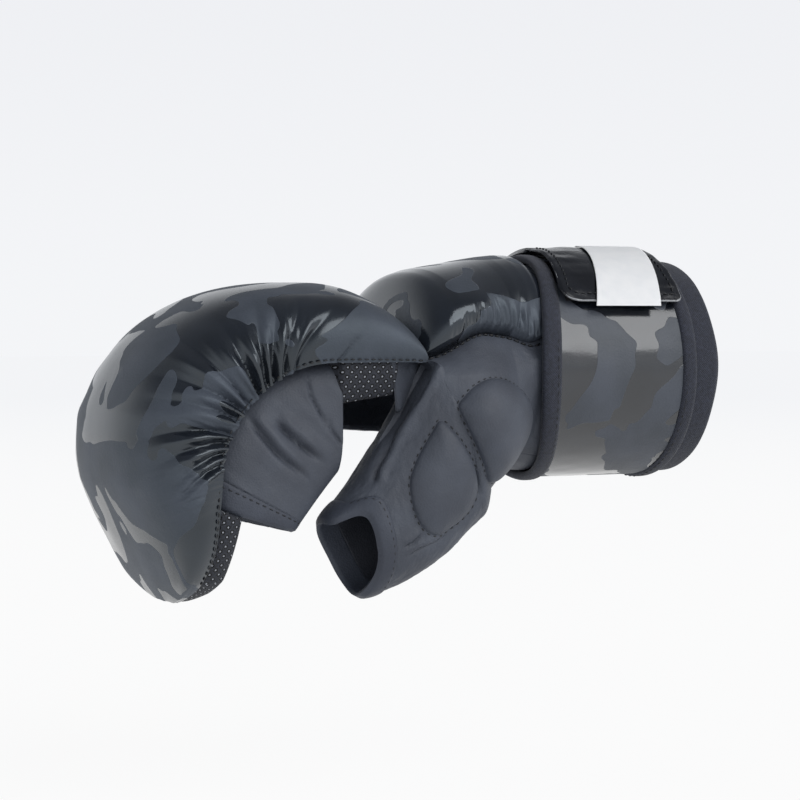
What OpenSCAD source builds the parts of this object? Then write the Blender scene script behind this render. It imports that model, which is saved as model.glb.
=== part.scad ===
// Right-hand sparring glove for mixed martial arts, in the shape of a loose fist.
// The forearm runs along +X from the wrist opening and the fingers point to -X.
// The back of the hand faces +Z and the thumb side faces -Y. Millimetres.
// Angles round the wrist start at the palm and turn past the little finger:
// 0 is the palm, 90 the little-finger side, 180 the back and 270 the thumb side.

/* [Wrist cuff] */
// Radius of the wrist opening
bore_r = 30; // [28:0.5:33]
// Length of the padded cuff body
cuff_l = 50; // [44:1:56]
// Thickness of the cuff lining
cuff_lining_t = 1.2; // [0.8:0.1:2]
// Thickness of the cuff foam
cuff_foam_t = 4.8; // [4:0.2:6]
// Thickness of the cuff skin
cuff_skin_t = 1.2; // [0.8:0.1:2]
// Length of the bound rear rim
rim_l = 4; // [2.5:0.5:6]

/* [Wrist strap] */
// Thickness of the strap band
strap_t = 2.2; // [1.6:0.1:3]
// How far the strap runs past the front of the cuff body
strap_overhang = 12; // [11:0.5:16]
// How far the strap stays back from the rear of the cuff body
strap_inset = 7; // [5:0.5:10]
// Width of the binding tape on the strap edges
binding_w = 5; // [3:0.5:8]
// How far the binding stands above the band
binding_lift = 0.8; // [0.4:0.1:1.6]
// Angle where the free part of the strap starts
strap_hinge_deg = 30; // [20:1:45]
// Angle where the closing tab starts
tab_hinge_deg = 178; // [165:1:185]
// Angle where the closing tab ends
tab_end_deg = 234; // [220:1:250]
// Angle where the gloss panel on the strap starts
patch_start_deg = 118; // [100:1:140]
// Thickness of the loop tape
loop_t = 0.8; // [0.6:0.1:1.4]
// Thickness of the hook tape
hook_t = 0.9; // [0.6:0.1:1.4]
// Thickness of the tab cover
tab_t = 1.4; // [1:0.1:2.4]
// Width of the rolled edging at the tab end
edging_w = 1.2; // [0.8:0.1:2]
// Width of the care label
label_w = 27; // [20:1:34]
// Thickness of the care label
label_t = 0.4; // [0.3:0.1:0.8]
// How far the care label hangs past the tab end
label_drop = 2.2; // [1.6:0.2:5]

/* [Back of hand] */
// Length from the wrist bend to the knuckle crease
hand_l = 57; // [54:0.5:60]
// Reach of the hand from its middle to the thumb side at the knuckles
hand_thumb_r = 44; // [42:0.5:46]
// Reach of the hand from its middle to the little-finger side at the knuckles
hand_little_r = 41; // [38:0.5:44]
// Height of the back above the hand's middle line at the knuckles
hand_back_h = 10; // [9:0.5:12]
// Depth of the palm below the hand's middle line at the knuckles
hand_palm_h = 26; // [23:0.5:28]
// Drop of the hand's middle line from the wrist to the knuckles
hand_sink = 2; // [1:0.5:3]
// Reach of the palm panel from the wrist bend
palm_l = 34; // [28:1:37]
// Thickness of the leather panels
panel_t = 2.2; // [1.6:0.1:3]
// Swell of the palm over the base of the thumb
thenar_swell = 23; // [19:0.5:25]
// Height of the padded roll at the knuckles
back_pad_h = 28; // [24:0.5:29]
// Height of the padded roll at the wrist
back_pad_rear_h = 18; // [14:0.5:19]
// Thickness of the pad skins
skin_t = 1.4; // [1:0.1:2]
// Height of the stitched pad at the base of the thumb
thenar_pad_h = 4.5; // [2:0.5:7]

/* [Knuckle pad] */
// Inner radius of the bend over the knuckles
fist_r = 42; // [40:0.5:45]
// Straight run from the crease to the bend
top_run = 33; // [31:0.5:36]
// Straight run from the bend to the lower tip
front_run = 40.5; // [36:0.5:46]
// Width of the knuckle pad
pad_w = 94; // [92:1:102]
// Thickness of the pad over the knuckles
pad_top_h = 26; // [22:0.5:30]
// Thickness of the pad on the front of the fist
pad_front_h = 29; // [25:0.5:34]
// Thickness of the pad at its lower tip
tip_h = 6.5; // [6:0.5:9]
// Thickness of the mesh lining over the knuckles
mesh_t = 2.5; // [1.6:0.1:3.5]
// Thickness of the mesh edge below the finger sleeves
mesh_edge_t = 8; // [5:0.5:9]
// Gathers along each side seam
gathers = 10; // [6:1:12]
// Height of a gather above the skin
gather_h = 2.2; // [1:0.1:3]
// Drop of the mesh side wall at the index knuckle
side_mesh_drop = 10.5; // [6:0.5:11]

/* [Finger sleeves] */
// Distance between neighbouring fingers
finger_pitch = 20.5; // [20:0.1:21.5]
// Outer width of a finger sleeve
sleeve_w = 19.4; // [17:0.1:19.6]
// Thickness of the sleeve leather
sleeve_t = 1.6; // [1:0.1:2.2]
// Width of the hem band at the mouth of a sleeve
hem_w = 5; // [4:0.5:7]
// How far a hem stands above its sleeve
hem_lift = 0.3; // [0.2:0.05:0.4]

/* [Thumb] */
// Length of the thumb sleeve
thumb_l = 58.5; // [54:0.5:62]
// Width of the thumb sleeve along its crease
thumb_base_w = 58; // [55:0.5:59]
// Width of the thumb sleeve at its mouth
thumb_mouth_w = 28; // [26:0.5:31]
// Depth of the thumb sleeve along its crease
thumb_base_d = 34; // [31:0.5:36]
// Depth of the thumb sleeve at its mouth
thumb_mouth_d = 28; // [25:0.5:31]
// Slope of the thumb below the forearm line
thumb_slope_deg = 43.5; // [41:0.5:46]
// Tilt of the thumb's crease away from upright
crease_tilt_deg = 21; // [19:0.5:23]
// Tilt of the thumb's mouth away from upright
mouth_tilt_deg = 32; // [29:0.5:36]
// How far the middle of the thumb's crease sits behind the knuckle crease
thumb_setback = 13; // [12:0.5:15]
// How far the middle of the thumb's crease sits below the forearm line
thumb_drop = 25; // [24.5:0.5:27]
// Height of the stitched pad on the thumb
thumb_pad_h = 4; // [2:0.5:6]

/* [Clearances] */
// Gap between layers that lie on each other
layer_gap = 0.2; // [0.1:0.05:0.4]
// Gap between panels that are sewn edge to edge
seam_gap = 0.35; // [0.2:0.05:0.6]
// Gap round the wrist end of the hand inside the strap
neck_gap = 0.4; // [0.3:0.05:0.8]
// Gap at the bends of the knuckles and the thumb
bend_gap = 0.8; // [0.5:0.05:0.95]

/* [Hidden] */

// Colours
camo_c = "#454b52";
leather_c = "#3b3e44";
gloss_c = "#17181b";
binding_c = "#2a2c35";
mesh_c = "#1d1e21";
foam_c = "#8d9096";
label_c = "#f2f2f0";

// Layers of the cuff and the strap, from the wrist outwards
foam_r = bore_r + cuff_lining_t + layer_gap;
cuff_skin_r = foam_r + cuff_foam_t + layer_gap;
cuff_out_r = cuff_skin_r + cuff_skin_t;
strap_r = cuff_out_r + layer_gap;
strap_out_r = strap_r + strap_t;
binding_out_r = strap_out_r + binding_lift;
loop_r = strap_out_r + layer_gap;
hook_r = loop_r + loop_t + layer_gap;
tab_r = hook_r + hook_t + layer_gap;
tab_out_r = tab_r + tab_t;
label_r = tab_out_r + layer_gap;

// Places along the forearm
strap_front_x = -cuff_l - strap_overhang;
strap_rear_x = -strap_inset;
band_front_x = strap_front_x + binding_w + layer_gap;
band_rear_x = strap_rear_x - binding_w - layer_gap;
band_mid_x = (band_front_x + band_rear_x) / 2;
tape_margin = 3;
wrist_setback = 3;
wrist_x = strap_front_x + wrist_setback;
neck_tuck = 2.5;
neck_x = wrist_x + neck_tuck;
neck_span = 20;
neck_r = strap_r - neck_gap;
crease_x = wrist_x - hand_l;
ring_fn = 96;

// Shape of the hand
hand_square = 0.86;
panel_gap_deg = seam_gap / neck_r * 180 / PI;
little_edge_deg = 40;
back_start_deg = 120;
back_end_deg = 240;
thenar_end_deg = 326;
pad_edge_deg = 2;
back_pad_rear_gap = 5;
back_pad_front_gap = 3;
pad_seat = 0.5;
back_pad_roll = 13;
swell_deg = 325;
swell_start_s = 0.18;
swell_end_s = 1.1;
thenar_pad_s = 0.5;
thenar_pad_deg = 297;
thenar_pad_half_s = 0.27;
thenar_pad_half_deg = 24;
thenar_pad_shear_s = 0.07;

// Shape of the knuckle pad
pad_x = crease_x - bend_gap;
pad_z = 4.5;
bend_l = fist_r * PI / 2;
pad_l = top_run + bend_l + front_run;
fist_x = pad_x - top_run;
fist_z = pad_z - fist_r;
pad_tuck_deg = 18;
pad_square = 0.82;
pad_rear_roll = 30;
pad_rear_h = 5;
tip_round = 8;
gather_start = top_run - 2;
gather_end = top_run + bend_l;
gather_reach_deg = 34;
floor_margin = 1.2;
side_mesh_setback = 12;

// Shape of the finger sleeves, seen from the thumb side, round the middle of the fist
sleeve_gap = 0.7;
sleeve_start_deg = 2;
sleeve_turn_deg = 82;
sleeve_back_in = [3, 1.5];
sleeve_back_out = [-8.5, -13];
sleeve_square = 0.62;
finger_mid_y = -0.5;
hem_start = 1.012;
hem_end = hem_start + hem_w / (sleeve_turn_deg * PI / 180 * fist_r / 2);

// Shape of the thumb
thumb_stand = 5.5;
thumb_near_y = -hand_thumb_r - thumb_stand;
thumb_mid = [crease_x + thumb_setback, thumb_near_y + thumb_base_d / 2, -thumb_drop];
thumb_dir = [-cos(thumb_slope_deg), 0, -sin(thumb_slope_deg)];
thumb_sag = 5;
thumb_square = 0.86;
thumb_wrap_deg = 22;
thumb_inner_s = 0.5;
thumb_hem_s = 1 - hem_w / thumb_l;
thumb_gap_s = layer_gap / thumb_l;
thumb_hem_lift = 0.5;
thumb_notch = 0.18;
thumb_pad_s = 0.27;
thumb_pad_deg = 269;

// Helpers
function mix(a, b, q) = a + (b - a) * q;
function clip(q) = max(0, min(1, q));
function smooth(q) = let (c = clip(q)) c * c * (3 - 2 * c);
function spow(v, e) = sign(v) * pow(abs(v), e);
function steps(a, b, n) = [for (i = [0:n]) a + (b - a) * i / n];

// A quad as two triangles
function quad(a, b, c, d) = [[a, b, c], [a, c, d]];

// Triangles of a grid of n rows and m columns whose points start at index o
function grid_faces(n, m, o, wrap, back) = [
    for (i = [0:n - 2], j = [0:m - (wrap ? 1 : 2)])
        let (k = (j + 1) % m, a = o + i * m + j, b = o + i * m + k)
            for (t = back ? quad(a, a + m, b + m, b) : quad(a, b, b + m, a + m)) t];

// Triangles that close the first and last rows between the two grids
function row_faces(n, m, wrap) = [
    for (j = [0:m - (wrap ? 1 : 2)])
        let (k = (j + 1) % m, o = n * m, e = (n - 1) * m)
            for (t = concat(quad(k, j, o + j, o + k), quad(e + j, e + k, o + e + k, o + e + j))) t];

// Triangles that close the first and last columns between the two grids
function column_faces(n, m) = [
    for (i = [0:n - 2])
        let (o = n * m, a = i * m, b = a + m, c = a + m - 1, d = b + m - 1)
            for (t = concat(quad(a, b, o + b, o + a), quad(d, c, o + c, o + d))) t];

// A closed solid between an outer and an inner grid of points
module between(outer, inner, wrap = false) {
    n = len(outer);
    m = len(outer[0]);
    faces = concat(grid_faces(n, m, 0, wrap, false), grid_faces(n, m, n * m, wrap, true),
                   row_faces(n, m, wrap), wrap ? [] : column_faces(n, m));
    points = [for (grid = [outer, inner], row = grid, p = row) p];
    polyhedron(points = points, faces = faces, convexity = 8);
}

// A ring about the forearm axis, between two radii, two places and two angles
module ring(r0, r1, x0, x1, a0 = 0, a1 = 360) {
    rotate([0, 90, 0])
        rotate([0, 0, a0])
            rotate_extrude(angle = a1 - a0, $fn = ring_fn)
                translate([r0, x0])
                    square([r1 - r0, x1 - x0]);
}

// Angle that a gap along the strap takes at its outer radius
function gap_deg(gap) = gap / strap_out_r * 180 / PI;

// Point on the hand: s runs from the wrist to the knuckles, a is the angle, lift is above the leather
function hand_x(s) = mix(neck_x, crease_x, s);
function hand_s(x) = (x - neck_x) / (crease_x - neck_x);
function swell(s, a) =
    let (along = sin(180 * clip((s - swell_start_s) / (swell_end_s - swell_start_s))))
    thenar_swell * pow(along, 1.5) * pow(max(0, cos(a - swell_deg)), 2);
function hand_point(s, a, lift = 0) =
    let (x = hand_x(s),
         q = smooth(s),
         neck = sqrt(pow(neck_r, 2) - pow(min(abs(x - wrist_x), neck_span), 2)),
         side = sin(a) < 0 ? hand_thumb_r : hand_little_r,
         face = cos(a) > 0 ? mix(neck, hand_palm_h, q) : mix(neck, hand_back_h, 1 - pow(1 - s, 2)),
         e = mix(1, hand_square, q),
         rise = lift + swell(s, a))
    [x, (mix(neck, side, q) + rise) * spow(sin(a), e), -hand_sink * q - (face + rise) * spow(cos(a), e)];

// Last angle of the thenar panel, which stops along the thumb's crease
thenar_start_deg = back_end_deg + panel_gap_deg;
thenar_front_x = thumb_mid[0] - thumb_drop * tan(crease_tilt_deg);
function crease_z(x) = thumb_mid[2] - (x - bend_gap - thumb_mid[0]) / tan(crease_tilt_deg);
function thenar_end(s) =
    max([for (a = [thenar_start_deg + 1:0.5:thenar_end_deg])
            if (hand_point(s, a)[2] > crease_z(hand_x(s))) a]);

// A leather panel of the hand between two stations and two angles
module hand_panel(s0, s1, a0, a1, n, m) {
    grid = [for (s = steps(s0, s1, n)) [for (a = steps(a0, a1, m)) [s, a]]];
    between([for (row = grid) [for (p = row) hand_point(p[0], p[1])]],
            [for (row = grid) [for (p = row) hand_point(p[0], p[1], -panel_t)]]);
}

// Height of the padded roll on the back of the hand, rolled off at both ends and both sides
back_pad_front_x = crease_x + back_pad_front_gap;
back_pad_rear_x = strap_front_x - back_pad_rear_gap;
function end_roll(d) = sqrt(max(0, 1 - pow(1 - clip(d / back_pad_roll), 2)));
function back_pad_rise(s, a) =
    let (x = hand_x(s),
         across = (a - back_start_deg) / (back_end_deg - back_start_deg),
         along = (back_pad_rear_x - x) / (back_pad_rear_x - back_pad_front_x),
         ends = end_roll(x - back_pad_front_x) * end_roll(back_pad_rear_x - x))
    mix(back_pad_rear_h, back_pad_h, smooth(along)) * pow(sin(180 * clip(across)), 0.5) * mix(0.15, 1, ends);
function back_pad_point(s, a, rise) =
    let (lean = 180 + (a - 180) * 0.8)
    hand_point(s, a, pad_seat) + rise * [0, sin(lean), -cos(lean)];
function back_pad_grid(n, m) = [
    for (s = steps(hand_s(back_pad_rear_x), hand_s(back_pad_front_x), n))
        [for (a = steps(back_start_deg + pad_edge_deg, back_end_deg - pad_edge_deg, m)) [s, a]]];

// Point on the thumb: t runs from its crease to its mouth, a is 0 at the web, 90 at the palm side,
// 180 at the heel and 270 at the near side, where the mouth is cut back
function thumb_point(t, a, lift = 0) =
    let (s = t * (1 - thumb_notch * pow(max(0, -sin(a)), 2)),
         tilt = mix(crease_tilt_deg, mouth_tilt_deg, s),
         up = [-sin(tilt), 0, cos(tilt)],
         half_w = mix(thumb_base_w, thumb_mouth_w, s) / 2 + lift,
         half_d = mix(thumb_base_d, thumb_mouth_d, s) / 2 + lift,
         mid = thumb_mid + thumb_dir * thumb_l * s - [0, 0, thumb_sag * sin(180 * clip(s))])
    mid + up * half_w * spow(cos(a), thumb_square) + [0, half_d * spow(sin(a), thumb_square), 0];

// Place in a round pad on a square grid from -1 to 1, and the pad's height there
function disc(p, q) = [p * sqrt(1 - q * q / 2), q * sqrt(1 - p * p / 2)];
function dome(d) = mix(0.15, 1, pow(max(0, 1 - d * d), 0.6));

// Place and outward direction on the inner face of the knuckle pad, d along it from the crease
function pad_turn(d) = clip((d - top_run) / bend_l) * 90;
function pad_out(d) = [-sin(pad_turn(d)), 0, cos(pad_turn(d))];
function pad_inner(d) =
    [fist_x, 0, fist_z] + fist_r * pad_out(d)
    + [max(0, top_run - d), 0, -max(0, d - top_run - bend_l)];
function mesh_h(d) =
    let (start = smooth((d - gather_end + 8) / 14),
         fade = smooth((d - gather_end - 6) / (front_run - 6)))
    mix(mesh_t, mesh_edge_t, start * (1 - 0.85 * fade));
function pad_h(d) =
    let (roll = clip(d / pad_rear_roll),
         body = mix(pad_top_h, pad_front_h, smooth((d - top_run) / (bend_l * 0.6))),
         fall = pow(clip((d - gather_end + 6) / (front_run + 6)), 1.4))
    mix(mix(pad_rear_h, body, pow(1 - pow(1 - roll, 2), 0.62)), tip_h, fall);
function pad_half(d) =
    pad_w / 2 * sqrt(1 - pow(clip((d - gather_end) / (front_run + tip_round)), 2.4));
function gather(d, a) =
    let (q = (d - gather_start) / (gather_end - gather_start),
         near = min(a + pad_tuck_deg, 180 + pad_tuck_deg - a) / gather_reach_deg)
    (q < 0 || q > 1) ? 0 : gather_h * (0.5 - 0.5 * cos(360 * gathers * q)) * pow(clip(1 - near), 0.8);

// Point on the knuckle pad's crown, a from the near seam over the top to the far one
function pad_point(d, a, inset, lift = 0) =
    let (base = mesh_h(d) + layer_gap,
         tuck = sin(pad_tuck_deg),
         rise = spow(max(0, (sin(a) + tuck) / (1 + tuck)), pad_square),
         half = pad_half(d) - inset)
    pad_inner(d) + pad_out(d) * (base + (pad_h(d) - base - inset) * rise + lift * max(0, sin(a)))
    + [0, -half * spow(cos(a), pad_square) - lift * cos(a), 0];
function pad_floor(d, a, h, inset) =
    let (reach = spow(cos(pad_tuck_deg), pad_square) - floor_margin / pad_w,
         across = max(-reach, min(reach, spow(cos(a), pad_square))))
    pad_inner(d) + pad_out(d) * h + [0, -(pad_half(d) - inset) * across, 0];
pad_angles = steps(180 + pad_tuck_deg, -pad_tuck_deg, 16);
pad_rows = concat([for (i = [0:5]) gather_start * pow(i / 6, 1.6)],
                  steps(gather_start, gather_end, 2 * gathers),
                  [for (i = [1:7]) gather_end + front_run * i / 7]);
core_angles = [for (i = [2:14]) pad_angles[i]];
core_inset = skin_t + layer_gap;

// Point on a finger sleeve: s runs from its entry to its mouth, a goes round it
function sleeve_point(y, s, a, lift = 0) =
    let (turn = sleeve_start_deg + sleeve_turn_deg * s,
         front = (fist_r - sleeve_gap) * [-sin(turn), cos(turn)],
         back = mix(sleeve_back_in, sleeve_back_out, s),
         mid = (front + back) / 2,
         half = norm(front - back) / 2 + min(lift, 0),
         dir = (front - back) / norm(front - back),
         along = half * spow(cos(a), sleeve_square))
    [fist_x + mid[0] + dir[0] * along,
     y + (sleeve_w / 2 + lift) * spow(sin(a), sleeve_square),
     fist_z + mid[1] + dir[1] * along];
function finger_y(i) = finger_mid_y + finger_pitch * (i - 1.5);
module finger_tube(i, s0, s1, n, lift) {
    around = steps(0, 360 - 360 / 28, 27);
    between([for (s = steps(s0, s1, n)) [for (a = around) sleeve_point(finger_y(i), s, -a, lift)]],
            [for (s = steps(s0, s1, n)) [for (a = around) sleeve_point(finger_y(i), s, -a, -sleeve_t)]],
            wrap = true);
}
module finger_sleeve(i) {
    color(leather_c)
        finger_tube(i, 0, 1, 6, 0);
}
module finger_hem(i) {
    color(binding_c)
        finger_tube(i, hem_start, hem_end, 1, hem_lift);
}

// Wrist cuff
module cuff_lining() {
    color(mesh_c)
        ring(bore_r, bore_r + cuff_lining_t, -cuff_l, 0);
}
module cuff_foam() {
    color(foam_c)
        ring(foam_r, foam_r + cuff_foam_t, -cuff_l, 0);
}
module cuff_skin() {
    color(leather_c)
        ring(cuff_skin_r, cuff_out_r, -cuff_l, 0);
}
module cuff_rim_binding() {
    color(binding_c)
        ring(bore_r + layer_gap, cuff_out_r, layer_gap, rim_l);
}
module cuff_edge_binding() {
    color(binding_c)
        ring(strap_r, strap_r + strap_t / 2, strap_rear_x + layer_gap, rim_l / 2);
}

// Strap: the sewn root on the thumb side, the free wrap on the little-finger side
root_a0 = tab_hinge_deg + gap_deg(seam_gap);
root_a1 = 360 + strap_hinge_deg - gap_deg(seam_gap);
wrap_a0 = strap_hinge_deg + gap_deg(seam_gap);
wrap_a1 = tab_hinge_deg - gap_deg(seam_gap);
module strap_root() {
    color(camo_c)
        ring(strap_r, strap_out_r, band_front_x, band_rear_x, root_a0, root_a1);
}
module root_front_binding() {
    color(binding_c)
        ring(strap_r, binding_out_r, strap_front_x, strap_front_x + binding_w, root_a0, root_a1);
}
module root_rear_binding() {
    color(binding_c)
        ring(strap_r, binding_out_r, strap_rear_x - binding_w, strap_rear_x, root_a0, root_a1);
}
module loop_tape() {
    color(mesh_c)
        ring(loop_r, loop_r + loop_t, band_front_x + tape_margin, band_rear_x - tape_margin,
             root_a0, tab_end_deg);
}
module strap_wrap() {
    color(camo_c)
        ring(strap_r, strap_out_r, band_front_x, band_rear_x, wrap_a0, wrap_a1);
}
module wrap_front_binding() {
    color(binding_c)
        ring(strap_r, binding_out_r, strap_front_x, strap_front_x + binding_w, wrap_a0, wrap_a1);
}
module wrap_rear_binding() {
    color(binding_c)
        ring(strap_r, binding_out_r, strap_rear_x - binding_w, strap_rear_x, wrap_a0, wrap_a1);
}
module strap_patch() {
    color(gloss_c)
        ring(loop_r, tab_out_r, band_front_x, band_rear_x, patch_start_deg, wrap_a1);
}

// Closing tab
module tab_cover() {
    color(gloss_c)
        ring(tab_r, tab_out_r, band_front_x, band_rear_x, root_a0, tab_end_deg);
}
module hook_tape() {
    color(mesh_c)
        ring(hook_r, hook_r + hook_t, band_front_x + tape_margin, band_rear_x - tape_margin,
             root_a0, tab_end_deg);
}
module tab_edging() {
    color(gloss_c)
        ring(tab_r, tab_out_r, band_front_x, band_rear_x,
             tab_end_deg + gap_deg(layer_gap), tab_end_deg + gap_deg(layer_gap + edging_w));
}
module care_label() {
    color(label_c)
        ring(label_r, label_r + label_t, band_mid_x - label_w / 2, band_mid_x + label_w / 2,
             root_a0, tab_end_deg + gap_deg(label_drop));
}

// Back of the hand
module back_panel() {
    color(mesh_c)
        hand_panel(0, 1, back_start_deg, back_end_deg, 10, 10);
}
module thenar_panel() {
    grid = [for (s = steps(0, hand_s(thenar_front_x), 14))
               [for (a = steps(thenar_start_deg, thenar_end(s), 13)) [s, a]]];
    color(leather_c)
        between([for (row = grid) [for (p = row) hand_point(p[0], p[1])]],
                [for (row = grid) [for (p = row) hand_point(p[0], p[1], -panel_t)]]);
}
module palm_panel() {
    color(leather_c)
        hand_panel(0, hand_s(wrist_x - palm_l), thenar_end_deg + panel_gap_deg, 360 + little_edge_deg, 8, 8);
}
module little_side_panel() {
    color(leather_c)
        hand_panel(0, 1, little_edge_deg + panel_gap_deg, back_start_deg - panel_gap_deg, 10, 7);
}
module back_pad_skin() {
    color(camo_c) {
        grid = back_pad_grid(14, 16);
        between([for (row = grid) [for (p = row)
                    back_pad_point(p[0], p[1], back_pad_rise(p[0], p[1]))]],
                [for (row = grid) [for (p = row)
                    back_pad_point(p[0], p[1], max(0, back_pad_rise(p[0], p[1]) - skin_t))]]);
    }
}
module back_pad_foam() {
    color(foam_c) {
        inner = skin_t + layer_gap;
        grid = back_pad_grid(14, 16);
        core = [for (i = [1:13]) [for (j = [1:15]) grid[i][j]]];
        between([for (row = core) [for (p = row)
                    back_pad_point(p[0], p[1], back_pad_rise(p[0], p[1]) - inner)]],
                [for (row = core) [for (p = row) back_pad_point(p[0], p[1], 0)]]);
    }
}
module thenar_pad() {
    color(leather_c) {
        grid = [for (p = steps(-1, 1, 10)) [for (q = steps(-1, 1, 10)) disc(p, q)]];
        place = [for (row = grid) [for (d = row)
                    [thenar_pad_s + thenar_pad_half_s * d[0] - thenar_pad_shear_s * d[1],
                     thenar_pad_deg + thenar_pad_half_deg * d[1], dome(norm(d))]]];
        between([for (row = place) [for (k = row)
                    hand_point(k[0], k[1], pad_seat + thenar_pad_h * k[2])]],
                [for (row = place) [for (k = row) hand_point(k[0], k[1], pad_seat)]]);
    }
}

// Thumb
module thumb_shell(s0, s1, a0, a1, n, m, lift = 0) {
    between([for (s = steps(s0, s1, n)) [for (a = steps(a1, a0, m)) thumb_point(s, a, lift)]],
            [for (s = steps(s0, s1, n)) [for (a = steps(a1, a0, m)) thumb_point(s, a, -panel_t)]]);
}
module thumb_sleeve() {
    color(leather_c)
        thumb_shell(0, thumb_hem_s - thumb_gap_s, 180 - thumb_wrap_deg, 360 + thumb_wrap_deg, 10, 20);
}
module thumb_inner_panel() {
    color(leather_c)
        thumb_shell(thumb_inner_s, thumb_hem_s - thumb_gap_s, thumb_wrap_deg + panel_gap_deg,
                    180 - thumb_wrap_deg - panel_gap_deg, 5, 10);
}
module thumb_hem() {
    around = steps(0, -360 + 360 / 32, 31);
    color(leather_c)
        between([for (s = [thumb_hem_s, 1]) [for (a = around) thumb_point(s, a, thumb_hem_lift)]],
                [for (s = [thumb_hem_s, 1]) [for (a = around) thumb_point(s, a, -panel_t)]], wrap = true);
}
module thumb_pad() {
    // Half length and half width of the pad, as shares of the sleeve and turns round it
    long_axis = [0.13, -32];
    short_axis = [0.19, 24];
    color(leather_c) {
        grid = [for (p = steps(-1, 1, 10)) [for (q = steps(1, -1, 10)) disc(p, q)]];
        place = [for (row = grid) [for (d = row)
                    [thumb_pad_s + long_axis[0] * d[0] + short_axis[0] * d[1],
                     thumb_pad_deg + long_axis[1] * d[0] + short_axis[1] * d[1], dome(norm(d))]]];
        between([for (row = place) [for (k = row)
                    thumb_point(k[0], k[1], pad_seat + thumb_pad_h * k[2])]],
                [for (row = place) [for (k = row) thumb_point(k[0], k[1], pad_seat)]]);
    }
}

// Knuckle pad
module knuckle_skin() {
    color(camo_c)
        between([for (d = pad_rows) [for (a = pad_angles) pad_point(d, a, 0, gather(d, a))]],
                [for (d = pad_rows) [for (a = pad_angles) pad_point(d, a, skin_t)]]);
}
module knuckle_foam() {
    rows = [for (i = [1:len(pad_rows) - 1]) pad_rows[i]];
    color(foam_c)
        between([for (d = rows) [for (a = core_angles) pad_point(d, a, core_inset)]],
                [for (d = rows) [for (a = core_angles)
                    pad_floor(d, a, mesh_h(d) + layer_gap, core_inset)]]);
}
module knuckle_lining() {
    columns = [180, 90, 0];
    color(mesh_c)
        between([for (d = pad_rows) [for (a = columns) pad_floor(d, a, mesh_h(d), core_inset)]],
                [for (d = pad_rows) [for (a = columns) pad_floor(d, a, 0, core_inset)]]);
}
module knuckle_side_mesh() {
    near_y = core_inset - pad_w / 2;
    slant = 6;
    mesh_sheet = 1.4;
    rows = steps(pad_x - side_mesh_setback, fist_x + slant / 2, 6);
    columns = steps(0, 1, 3);
    color(mesh_c)
        between([for (x = rows) [for (q = columns)
                    [x, near_y + slant * q, pad_z - layer_gap - side_mesh_drop * q]]],
                [for (x = rows) [for (q = columns)
                    [x, near_y + mesh_sheet + slant * q, pad_z - layer_gap - side_mesh_drop * q]]]);
}

// Finger sleeves and their hems
module index_sleeve() { finger_sleeve(0); }
module middle_sleeve() { finger_sleeve(1); }
module ring_sleeve() { finger_sleeve(2); }
module little_sleeve() { finger_sleeve(3); }
module index_hem() { finger_hem(0); }
module middle_hem() { finger_hem(1); }
module ring_hem() { finger_hem(2); }
module little_hem() { finger_hem(3); }

cuff_lining();
cuff_foam();
cuff_skin();
cuff_rim_binding();
cuff_edge_binding();
strap_root();
root_front_binding();
root_rear_binding();
loop_tape();
strap_wrap();
wrap_front_binding();
wrap_rear_binding();
strap_patch();
tab_cover();
hook_tape();
tab_edging();
care_label();
back_panel();
thenar_panel();
palm_panel();
little_side_panel();
back_pad_skin();
back_pad_foam();
thenar_pad();
thumb_sleeve();
thumb_inner_panel();
thumb_hem();
thumb_pad();
knuckle_skin();
knuckle_foam();
knuckle_lining();
knuckle_side_mesh();
index_sleeve();
middle_sleeve();
ring_sleeve();
little_sleeve();
index_hem();
middle_hem();
ring_hem();
little_hem();
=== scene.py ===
# %% [markdown]
# # A padded sparring glove, dressed piece by piece
# The solids of the part fix where every piece of the glove sits and how it moves.
# This lesson puts the real surfaces round them: gathered leather over foam, sewn
# panels, woven binding tape, perforated mesh and the closing strap.
# Every surface comes from the same few formulas as the solids, with far more points,
# so that folds, seams and stitches can be pressed into it. Sculpting gives folds too,
# but a formula gives the same ones in each run and keeps to the solids.
#
# The glove is drawn in millimetres along the forearm: X = 0 is the wrist opening and
# the fingers point to -X. The thumb side faces -Y and the back of the hand faces +Z.
# Angles round the wrist start at the palm and pass the little finger, the back and the
# thumb, as the solids do.

# %% Load the frame
import math

import bmesh
import bpy
import numpy as np
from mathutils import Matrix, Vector
from mathutils.bvhtree import BVHTree


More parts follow.
